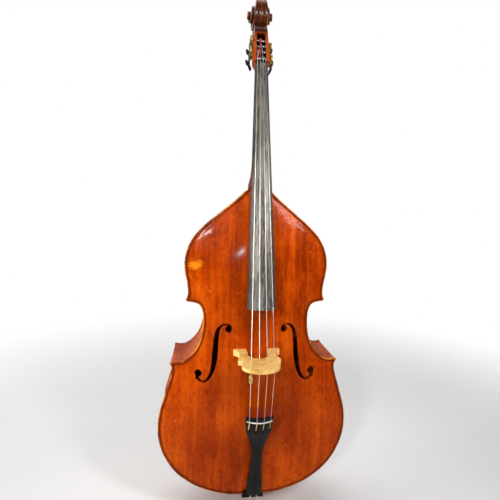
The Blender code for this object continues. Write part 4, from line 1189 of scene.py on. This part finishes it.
def soften(profile, size=0.4):
    """The profile with its corners cut off."""
    points = [Vector(p) for p in profile]
    eased = [points[0]]
    for before, at, after in zip(points, points[1:], points[2:]):
        for other in (before, after):
            way = other - at
            eased.append(at + way.normalized() * min(size, way.length / 3))
    return [tuple(p) for p in eased + [points[-1]]]


def fused(name, objects):
    """Several meshes as one piece, with their modifiers applied."""
    shape = bmesh.new()
    for obj in objects:
        apply_modifiers(obj)
        shape.from_mesh(obj.data)
        bpy.data.objects.remove(obj)
    mesh = bpy.data.meshes.new(name)
    shape.to_mesh(mesh)
    shape.free()
    return shaded(name, mesh, 38)


def wings(outline, thickness, axis, place, edge):
    """A flat shape across the axis through the points of half its outline, with rounded edges."""
    path = smooth_path(outline, 26)
    path = np.vstack([path, (path * (-1, 1))[-2::-1]])
    return rounded_edges(slab("wings", path, (-thickness, thickness), axis, place), edge, 3, 50)


def roller(name, place, frame):
    """A stout pin through both cheeks, thinner in the middle, where the string winds."""
    far, r, end = roller_span(place), ROLLER_RADIUS, GEAR_MIDDLE + 5
    seat = -far * 0.5
    quarter = frame @ Matrix.Rotation(math.pi / 2, 4, "Y")
    profile = [(0, end), (4, end), (4, -3), (r, -3), (r, seat + 8), (r - 1, seat + 6)]
    profile += [(r - 1, seat - 6), (r, seat - 8), (r, -far), (0, -far)]
    piece = turned(f"roller_{name}_finished", soften(profile, 0.5), in_frame(quarter))
    settle(piece, ROLLER_STEEL, f"roller_{name}", f"peg_{name}")


def worm_thread(axis):
    """Three turns of a thread, which rises from nothing at both ends."""
    turns, steps, start = 3, 32, 0.03
    tip, root = WORM_RADIUS + 1.2, WORM_RADIUS - 2.0
    sections = []
    for i in range(turns * steps + 1):
        turn = i / steps - turns / 2 + start
        angle = 2 * math.pi * turn
        middle = WORM_PITCH * turn
        high = root + 0.4 + (tip - root - 0.4) * min(1.0, i / 12, (turns * steps - i) / 12)
        half = ((root, 1.4), (high - 0.2, 0.65), (high, 0.4))
        profile = [(r, -way) for r, way in half] + [(r, way) for r, way in half[::-1]]
        sections.append([(r * math.sin(angle), middle + way, r * math.cos(angle)) for r, way in profile])
    return loft("thread", sections, place=in_frame(axis))


def key(name, frame, rear):
    """The worm and its shaft in one with the two wings of the key, which point to the rear."""
    axis = frame @ Matrix.Translation(Vector((GEAR_MIDDLE, 0, -WORM_DISTANCE)) * MM)
    along = axis @ Matrix.Rotation(-rear * math.pi / 2, 4, "X")
    profile = [(0, -14.4), (2.6, -14.4), (3.5, -13.6), (3.5, 14.6), (5.4, 14.9), (5.9, 16), (5.4, 17.2)]
    profile += [(3.7, 17.8), (3.3, 22), (3.3, 32), (4.4, 36), (5.2, 40), (5.0, 44), (3.4, 48), (0, 50)]
    shaft = turned("shaft", profile, in_frame(along), 40)
    tilt = axis @ Matrix.Rotation(math.radians(-60), 4, "Y")
    outline = ((2.2, 0), (10, 3), (18, 5), (22.5, 12), (21, 22), (13, 28), (6, 25), (0, 20))
    outline = [(x, rear * (KEY_START + y)) for x, y in outline]
    wing = wings(outline, 2.2, 2, in_frame(tilt), 1.1)
    piece = fused(f"worm_key_{name}_finished", [shaft, worm_thread(axis), wing])
    settle(piece, BLACKENED, f"worm_key_{name}", f"key_{name}")


def plate_screws(label, frame, span):
    """Small slotted screw heads at the corners of a machine plate."""
    low, high = -WORM_DISTANCE - 4.6, span + 7
    profile = [(0, 0.9), (1.6, 0.75), (2.4, 0.3), (2.6, 0), (0, 0)]
    corners = ((-4, -0.35), (4, -0.35), (4, 0.35), (-4, 0.35))
    heads = []
    for y, z in ((-8.5, low), (8.5, low), (-6.5, high), (6.5, high)):
        at = frame @ Matrix.Translation(Vector((2.0, y, z)) * MM) @ Matrix.Rotation(math.pi / 2, 4, "Y")
        head = turned("head", profile, in_frame(at), 24)
        heads.append(carve(head, slab("slot", corners, (0.45, 2), place=in_frame(at))))
    settle(fused(f"plate_screws_{label}", heads), BRASS, f"machine_plate_{label}")


def machines():
    for name, place, side in ROLLERS:
        frame = machine_frame(place, side)
        roller(name, place, frame)
        key(name, frame, side)
        refined(f"gear_{name}", BRASS, 0.3, f"peg_{name}")
    for label, side in (("left", -1), ("right", 1)):
        low, high = (place for _, place, cheek in ROLLERS if cheek == side)
        refined(f"machine_plate_{label}", BRASS, 0.4)
        plate_screws(label, machine_frame(low, side), high - low)


# ---------------------------------------------------------------- bridge, tailpiece and strings


def crown_y(x):
    """Y of the bridge's top edge."""
    return -BELLY_ARCH - BRIDGE_HEIGHT + camber(x)


def bridge_outline():
    """The bridge seen from the front, as (x, height above the belly's crown)."""
    crown = [(x, BRIDGE_HEIGHT - camber(x)) for x in np.linspace(0, 52, 30)]
    shoulder = ((54, 141), (58, 134), (61.5, 127), (63, 117), (61.5, 104), (57.5, 95), (57, 91.5))
    notch = (
        (58, 90), (64, 91.2), (70, 88), (72.3, 81), (70, 72), (66.5, 64), (64.5, 52), (64, 38), (66, 22),
        (71, 13.5),
    )
    toe = ((73, 11.5), (79, 9.8), (82, 7.5), (82.3, 4))
    sole = [(x, 0) for x in (82, 74, 67, 59, 52, 45, 37.5)]
    inner = ((36.8, 4), (36, 12), (35.3, 26), (36, 40), (34.5, 52), (30, 62), (23, 69), (12, 73), (0, 74))
    curves = ((shoulder, 26), (notch, 40), (toe, 8))
    parts = [crown, *(smooth_path(points, count) for points, count in curves), sole]
    return mirrored(np.vstack([*parts, smooth_path(inner, 40)]))


def bridge(belly):
    """Square to the belly on its tail side and tapered on the other, with feet that fit the belly."""
    tree = BVHTree.FromObject(belly, bpy.context.evaluated_depsgraph_get())
    foot_height = 14.0

    def place(x, height, share):
        z = BRIDGE_Z + (21 - 11 * height / BRIDGE_HEIGHT) * share
        y = -BELLY_ARCH - height
        if height < foot_height:
            hit = tree.ray_cast(Vector(world((x, -120, z))), Vector((0, 1, 0)))[0]
            fitted = from_world(hit).y - 0.1 - height
            y = fitted + (y - fitted) * height / foot_height
        return (x, y, z)

    outline = bridge_outline()
    faces = [[place(x, height, share) for x, height in outline] for share in (0, 1)]
    piece = loft("bridge_finished", faces)
    heart = ((0, 94), (5, 99), (10, 104.5), (14, 111), (15, 117), (12.5, 122), (8, 123.8), (3.5, 122))
    heart = [(x, -BELLY_ARCH - height) for x, height in mirrored(smooth_path(heart + ((0, 118.5),), 30))]
    carve(piece, slab("heart", heart, (BRIDGE_Z - 20, BRIDGE_Z + 40)))
    rounded_edges(piece, 0.9, 2, 55)
    settle(piece, BRIDGE, "bridge")


def tail_front(z, half=None):
    """Y of the tailpiece's front along its middle line."""
    if half is None:
        half = np.interp(z, [t[0] for t in TAILPIECE], [t[1] for t in TAILPIECE])
    return TAIL_FOOT_Y - TAIL_LEAN * z - half**2 / TAIL_CAMBER


def tail_camber(x):
    return (np.asarray(x) - TAIL_X) ** 2 / TAIL_CAMBER


def tailpiece():
    """Cambered and narrow in its middle, with two holes for the cord and four keyholes."""
    foot = TAILPIECE[0][0]
    ends = ([foot, foot + 0.6, foot + 2], [TAIL_TOP_Z - 0.5, TAIL_TOP_Z])
    zs = np.concatenate([ends[0], np.linspace(12, TAIL_TOP_Z - 2, 96), ends[1]])
    sections = []
    for z, half, depth in zip(zs, *smooth_table(TAILPIECE, zs)):
        ease = 1.4 * max(0.0, 1 - (z - foot) / 2, 1 - (TAIL_TOP_Z - z) / 2) ** 2
        front = tail_front(z, half) + ease
        half, depth = half - ease, depth - 2 * ease
        back, fall = front + depth, half**2 / TAIL_CAMBER
        xs = TAIL_X + np.linspace(-half + 1.2, half - 1.2, 25)
        over = [(x, front + tail_camber(x), z) for x in xs]
        edge, base = front + fall, back + 0.7 * fall
        side = ((half - 0.3, edge + 0.5), (half, edge + 1.4), (half, base - 1.6), (half - 1.4, base))
        under = [(x, back + 0.7 * tail_camber(x), z) for x in xs[-3:1:-2]]
        right = [(TAIL_X + x, y, z) for x, y in side]
        left = [(TAIL_X - x, y, z) for x, y in side[::-1]]
        sections.append(over + right + under + left)
    cutters = []
    for side in (-1, 1):
        x = TAIL_X + CORD_REACH * side
        cutters.append(drill((x, -32.3, 44), (x, -14.1, -8), CORD_RADIUS + 0.7))
    for index in range(len(STRINGS)):
        x = tail_string_x(index)
        cutters.append(drill((x, -200, TAIL_HOLE_Z), (x, 0, TAIL_HOLE_Z), 4.3))
        half = ((1.9, TAIL_HOLE_Z), (1.9, TAIL_FRET_Z - 10.5), (1.2, TAIL_FRET_Z - 9.4))
        slot = [(x - 1.9, TAIL_HOLE_Z), *((x + dx, z) for dx, z in half)]
        slot += [(x - dx, z) for dx, z in half[:0:-1]]
        cutters.append(slab("slot", slot, (-200, 0), axis=1))
    piece = loft("tailpiece_finished", sections, sharp=30)
    settle(carve(piece, *cutters), EBONY, "tailpiece")


def tailpiece_fret():
    """A rounded strip across the tailpiece, which the strings bend over."""
    half = ((-1.7, 0.9), (-1.7, -1.6), (-1.3, -2.6), (-0.6, -3.1))
    across = half + tuple((-z, y) for z, y in half[::-1])
    sections = []
    for x in np.concatenate([[-43, -42.6], np.linspace(-41.5, 41.5, 44), [42.6, 43]]) + TAIL_X:
        end = min(1.0, (43.2 - abs(x - TAIL_X)) / 1.6)
        seat = tail_front(TAIL_FRET_Z) + tail_camber(x) - 0.3
        section = []
        for z, y in across:
            rise = max(y, -0.6) + min(y + 0.6, 0) * end
            section.append((x, seat + rise - 0.3 * z, TAIL_FRET_Z + z * end))
        sections.append(section)
    settle(loft("fret_finished", sections, sharp=50), IVORY, "tailpiece_fret")


def sweep(name, path, radii):
    """A round bar of changing radius along a path."""
    path = np.asarray(path, float)
    along = directions(path)
    normal = np.cross(along[0], (0.3, 0.9, 0.2))
    sections = []
    for point, way, radius in zip(path, along, radii):
        normal = normal - way * (normal @ way)
        normal /= np.linalg.norm(normal)
        other = np.cross(way, normal)
        ring = [math.cos(a) * normal + math.sin(a) * other for a in circle(16)]
        sections.append([tuple(point + radius * around) for around in ring])
    return loft(name, sections, 50)


def eased_path(points, reach, steps=7):
    """The path with each corner rounded off."""
    points = [Vector(p) for p in points]
    path = [points[0]]
    for before, at, after in zip(points, points[1:], points[2:]):
        start = at + (before - at).normalized() * min(reach, (before - at).length * 0.45)
        end = at + (after - at).normalized() * min(reach, (after - at).length * 0.45)
        for t in np.linspace(0, 1, steps):
            path.append(start * (1 - t) ** 2 + at * 2 * t * (1 - t) + end * t**2)
    return [tuple(p) for p in path + [points[-1]]]


def tail_cord():
    """The wire loop that holds the tailpiece to the endpin's collar, over the saddle."""
    collar, under, middle = 13.2, -12.3, RIB_DEPTH / 2
    down = ((-31, 40), (-19, 6), (-16.6, -1), (-15.9, -9), (-12.5, under), (8, under))

    def leg(side):
        reach = [TAIL_X + side * CORD_REACH] * 3 + [side * (CORD_REACH + 1)] * 3
        return [(x, y, z) for x, (y, z) in zip(reach, down)]

    angles = [math.radians(a) for a in range(5, 90, 12)]
    arc = [(collar * math.cos(a), middle + collar * math.sin(a)) for a in angles]
    loop = [(x, y, under) for x, y in [(collar, 60), (collar, middle - 3)] + arc]
    back = [(-x, y, z) for x, y, z in loop[::-1]]
    path = eased_path(leg(1) + loop + [(0, middle + collar, under)] + back + leg(-1)[::-1], 1.8)
    settle(sweep("tail_cord_finished", path, [CORD_RADIUS] * len(path)), STEEL, "tail_cord")


def winding(start, centre, axis, reach, step):
    """The string's way from its last straight point round a roller, moving along the roller."""
    turns, points = 2.4, 32
    ahead, below = centre.y - start.y, centre.z - start.z
    first = math.acos(reach / math.hypot(ahead, below)) - math.atan2(below, ahead)
    way = []
    for i in range(round(turns * points) + 1):
        angle = first + 2 * math.pi * i / points
        away = Vector((0, -math.cos(angle), math.sin(angle)))
        way.append(tuple(centre + axis * step * i / points + away * reach))
    return way


def tail_string_x(index):
    """X of a string from the tailpiece's hole to its fret."""
    return TAIL_X + TAIL_SPACING * (index - 1.5)


def tail_hole_y(index):
    """Y of the tailpiece's front at a string's hole."""
    return float(tail_front(TAIL_HOLE_Z) + tail_camber(tail_string_x(index)))


def fret_string_y(radius, x):
    """Y of a string's centre where it crosses the tailpiece's fret."""
    return float(tail_front(TAIL_FRET_Z) + tail_camber(x) - 3.9 - radius)


def string_path(index, name, radius):
    """The middle line of a string over fret, bridge and nut, with its turns on the roller."""
    x_tail, x_bridge, x_nut = tail_string_x(index), string_x(index, BRIDGE_Z), string_x(index, NUT_Z)
    hole_y, low = tail_hole_y(index), TAIL_HOLE_Z + 2
    crown = float(crown_y(x_bridge)) - radius - 0.3
    nut_y = NUT_STRING_Y + float(camber(x_nut)) - radius - 0.2
    fret_y = fret_string_y(radius, x_tail)
    leaving = Vector((x_nut, nut_y + 0.9, NUT_Z + 10))
    straight = [(x_tail, hole_y + 14.6, low), (x_tail, hole_y + 2, low + 1)]
    straight += [(x_tail, fret_y + 0.5, TAIL_FRET_Z - 3), (x_tail, fret_y, TAIL_FRET_Z)]
    over_bridge = ((0.4, -2), (0, 1), (0, 9), (0.4, 12))
    straight += [(x_bridge, crown + dip, BRIDGE_Z + up) for dip, up in over_bridge]
    straight += [(x_nut, nut_y, NUT_Z), (x_nut, nut_y, NUT_Z + 7), tuple(leaving)]
    place, side = next((place, side) for roller, place, side in ROLLERS if roller == name)
    frame = machine_frame(place, side)
    end, axis = from_world(frame.translation), frame.col[0].to_3d()
    axis /= axis.x
    centre = end + axis * (0.62 * x_nut - end.x)
    step = -math.copysign(2 * radius + 0.5, x_nut)
    return eased_path(straight, 0.8, 4) + winding(leaving, centre, axis, ROLLER_RADIUS + radius + 1, step)


def strings():
    """Each string from its ball end behind the tailpiece to its roller."""
    ball_radii = [1.2, 2.2, 2.9, 2.9, 2.2, 1.2]
    for index, (name, diameter) in enumerate(STRINGS):
        depths = (19.5, 19.2, 18.6, 15.9, 15.3, 15.0)
        ball = [(tail_string_x(index), tail_hole_y(index) + depth, TAIL_HOLE_Z + 2) for depth in depths]
        path = string_path(index, name, diameter / 2)
        radii = ball_radii + [diameter / 2] * len(path)
        settle(sweep(f"string_{name}_finished", ball + path, radii), STRING, f"string_{name}")


def wolf_eliminator():
    """A brass tube clamped on the lowest string below the bridge."""
    x_tail, x_bridge = tail_string_x(0), string_x(0, BRIDGE_Z)
    radius = STRINGS[0][1] / 2
    low = Vector((x_tail, fret_string_y(radius, x_tail), TAIL_FRET_Z))
    high = Vector((x_bridge, float(crown_y(x_bridge)) - radius + 0.1, BRIDGE_Z - 2))
    direction = (high - low).normalized()
    frame = direction.to_track_quat("Z", "Y").to_matrix().to_4x4()
    frame.translation = Vector(world(high - direction * 31))
    bore, wide, end = radius + 0.5, 6.8, 26.0
    profile = [(bore, end), (5.6, end), (6.3, end - 0.4), (wide, end - 1.5), (wide, end - 5)]
    profile += [(6.5, end - 5.3), (6.5, end - 6), (wide, end - 6.3)]
    profile += [(wide, 1.5), (6.3, 0.4), (5.6, 0), (bore, 0)]
    settle(turned("wolf_tube", profile, in_frame(frame), 56), BRASS, "wolf_eliminator")


# ---------------------------------------------------------------- endpin


def endpin_collar(place):
    """A turned plug with a groove for the tail cord, bored for the rod and for the thumb screw."""
    bore = ENDPIN_BORE
    plug = [(bore, 46), (11.5, 46), (12.2, -2), (20, -2.6), (20, -8.8), (10, -9.8), (10, -14.8)]
    plug += [(19, -15.8), (19, -20), (13, -23), (13, -42), (bore, -42)]
    plug = [(bore, 20), *soften(plug, 0.7)[1:-1], (bore, -42.0)]
    piece = turned("endpin_collar_finished", plug, place, 64)
    carve(piece, drill((0, 3, ENDPIN_SCREW_Z), (0, 30, ENDPIN_SCREW_Z), 3.4, place))
    settle(piece, EBONY, "endpin_collar")


def endpin_screw(middle):
    """The thumb screw: a stem with two wings."""
    place = Matrix.Translation(Vector((0, 0, ENDPIN_SCREW_Z)) * MM) @ Matrix.Rotation(-math.pi / 2, 4, "X")
    place = in_frame(middle @ place)
    stem = [(0, 29), (5, 29), (5, 20), (3, 20), (3, 5.8), (0, 5.8)]
    outline = [(x, y + 22) for x, y in ((4, 0), (9, 2), (13, 8), (11, 13), (5, 11), (0, 6))]
    pieces = [turned("stem", soften(stem, 0.7), place, 40), wings(outline, 1.6, 1, place, 0.8)]
    settle(fused("endpin_screw_finished", pieces), STEEL, "endpin_screw", "endpin_screw")


def endpin():
    middle = Matrix.Translation(Vector(world((0, RIB_DEPTH / 2, 0))))
    place = in_frame(middle)
    endpin_collar(place)
    rod = [(0, 440), (4.2, 440), (5, 439), (5, -56), (0, -56)]
    settle(turned("endpin_rod_finished", rod, place), STEEL, "endpin_rod", "endpin")
    foot = [(0, -58), (5.2, -56.5), (5.2, -44.5), (7, -44.5), (12, -50), (15, -60), (15, -72), (11.5, -80)]
    foot = soften(foot + [(0, -80)], 1.2)
    settle(turned("endpin_foot_finished", foot, place, 56), RUBBER, "endpin_foot", "endpin")
    endpin_screw(middle)


# ---------------------------------------------------------------- the stage


def floor():
    """A pale floor that runs out into the white of the room."""
    f = Finish("floor", None, roughness=0.6, specular_ior_level=0.2)
    shade = f.noise((3, 3, 3), 2)
    relief = f.bump(f.noise((300, 300, 300), 2), 0.05, 0.2)
    f.done(f.mix(shade, (0.86, 0.86, 0.855), (0.90, 0.90, 0.895)), None, relief)
    far = f.step(f.near((0, RIB_DEPTH / 2, -FOOT_HEIGHT), (1000, 1000, 1000)), 1.0, 2.9)
    f.tree.links.new(f.math("SUBTRACT", 1.0, far), f.shader.inputs["Alpha"])
    size = 4000.0
    corners = [(-size, -size, 0), (size, -size, 0), (size, size, 0), (-size, size, 0)]
    mesh = bpy.data.meshes.new("floor")
    mesh.from_pydata([Vector(c) * MM for c in corners], [], [(0, 1, 2, 3)])
    mesh.materials.append(f.material)
    added("floor", mesh)


def softbox(name, place, target, size, power, spread):
    """A rectangular light, with its place and target in the frame's metres."""
    light = bpy.data.lights.new(name, "AREA")
    light.shape = "RECTANGLE"
    light.size, light.size_y = size
    light.energy = power
    light.spread = math.radians(spread)
    obj = added(name, light)
    obj.location = place
    obj.rotation_euler = (Vector(target) - Vector(place)).to_track_quat("-Z", "Y").to_euler()


def studio():
    """A white room: pale to the camera, dimmer as a light, with soft boxes in front."""
    scene = bpy.context.scene
    scene.view_settings.view_transform = "Standard"
    scene.world = bpy.data.worlds.new("studio")
    scene.world.use_nodes = True
    tree = scene.world.node_tree
    ground = tree.nodes["Background"]
    path = tree.nodes.new("ShaderNodeLightPath")
    strength = tree.nodes.new("ShaderNodeMapRange")
    strength.inputs["To Min"].default_value = 0.11
    strength.inputs["To Max"].default_value = 1.0
    tree.links.new(path.outputs["Is Camera Ray"], strength.inputs["Value"])
    tree.links.new(strength.outputs[0], ground.inputs["Strength"])
    ground.inputs["Color"].default_value = (1, 1, 1, 1)
    softbox("key", (-1.15, -2.5, 1.75), (0, 0, 1.35), (0.32, 0.26), 14.5, 100)
    softbox("right", (0.9, -1.3, 1.72), (0.1, 0, 1.15), (0.34, 0.5), 8.6, 120)
    softbox("front", (-0.05, -2.6, 0.95), (0, 0, 0.95), (0.07, 0.08), 8, 180)
    softbox("side", (-2.4, -0.25, 0.6), (-0.25, 0, 0.66), (0.4, 0.5), 2.2, 32)
    softbox("fill", (0.0, -3.2, 3.0), (0, 0, 1.3), (3.0, 1.5), 3, 120)
    softbox("overhead", (-1.7, 1.8, 4.2), (-1.7, 1.8, 0), (6.0, 5.0), 190, 180)


def camera():
    """In front and a little to the left, turned to the right and leaning over slightly."""
    place = (-0.1803, -1.3739, 1.0779)
    turn, tilt, roll = (math.radians(a) for a in (7.07, 0.727, 1.337))
    ahead = Vector((math.sin(turn) * math.cos(tilt), math.cos(turn) * math.cos(tilt), -math.sin(tilt)))
    right = ahead.cross(Vector((0, 0, 1))).normalized()
    up = right.cross(ahead)
    across = right * math.cos(roll) + up * math.sin(roll)
    upright = up * math.cos(roll) - right * math.sin(roll)
    lens = bpy.data.cameras.new("camera")
    lens.lens = 25.62
    lens.shift_x, lens.shift_y = -0.0046, -0.0532
    lens.clip_start = 0.01
    obj = added("camera", lens)
    axes = Matrix((across, upright, -ahead)).transposed().to_4x4()
    obj.matrix_world = Matrix.Translation(place) @ axes
    bpy.context.scene.camera = obj


def inside():
    """The model's own pieces inside the body, in bare wood."""
    kinds = ("lining", "corner_block", "end_block", "neck_block", "bass_bar", "sound_post")
    for name, obj in NODES.items():
        if name.startswith(kinds):
            for i in range(len(obj.data.materials)):
                obj.data.materials[i] = BARE.material


def build():
    inside()
    belly = plates()
    ribs()
    neck_shaft()
    neck_tenon()
    pegbox()
    scroll()
    fingerboard()
    nut()
    refined("saddle", EBONY, 1.2)
    machines()
    bridge(belly)
    tailpiece()
    tailpiece_fret()
    tail_cord()
    strings()
    wolf_eliminator()
    endpin()
    floor()
    studio()
    camera()


build()

bpy.context.view_layer.update()
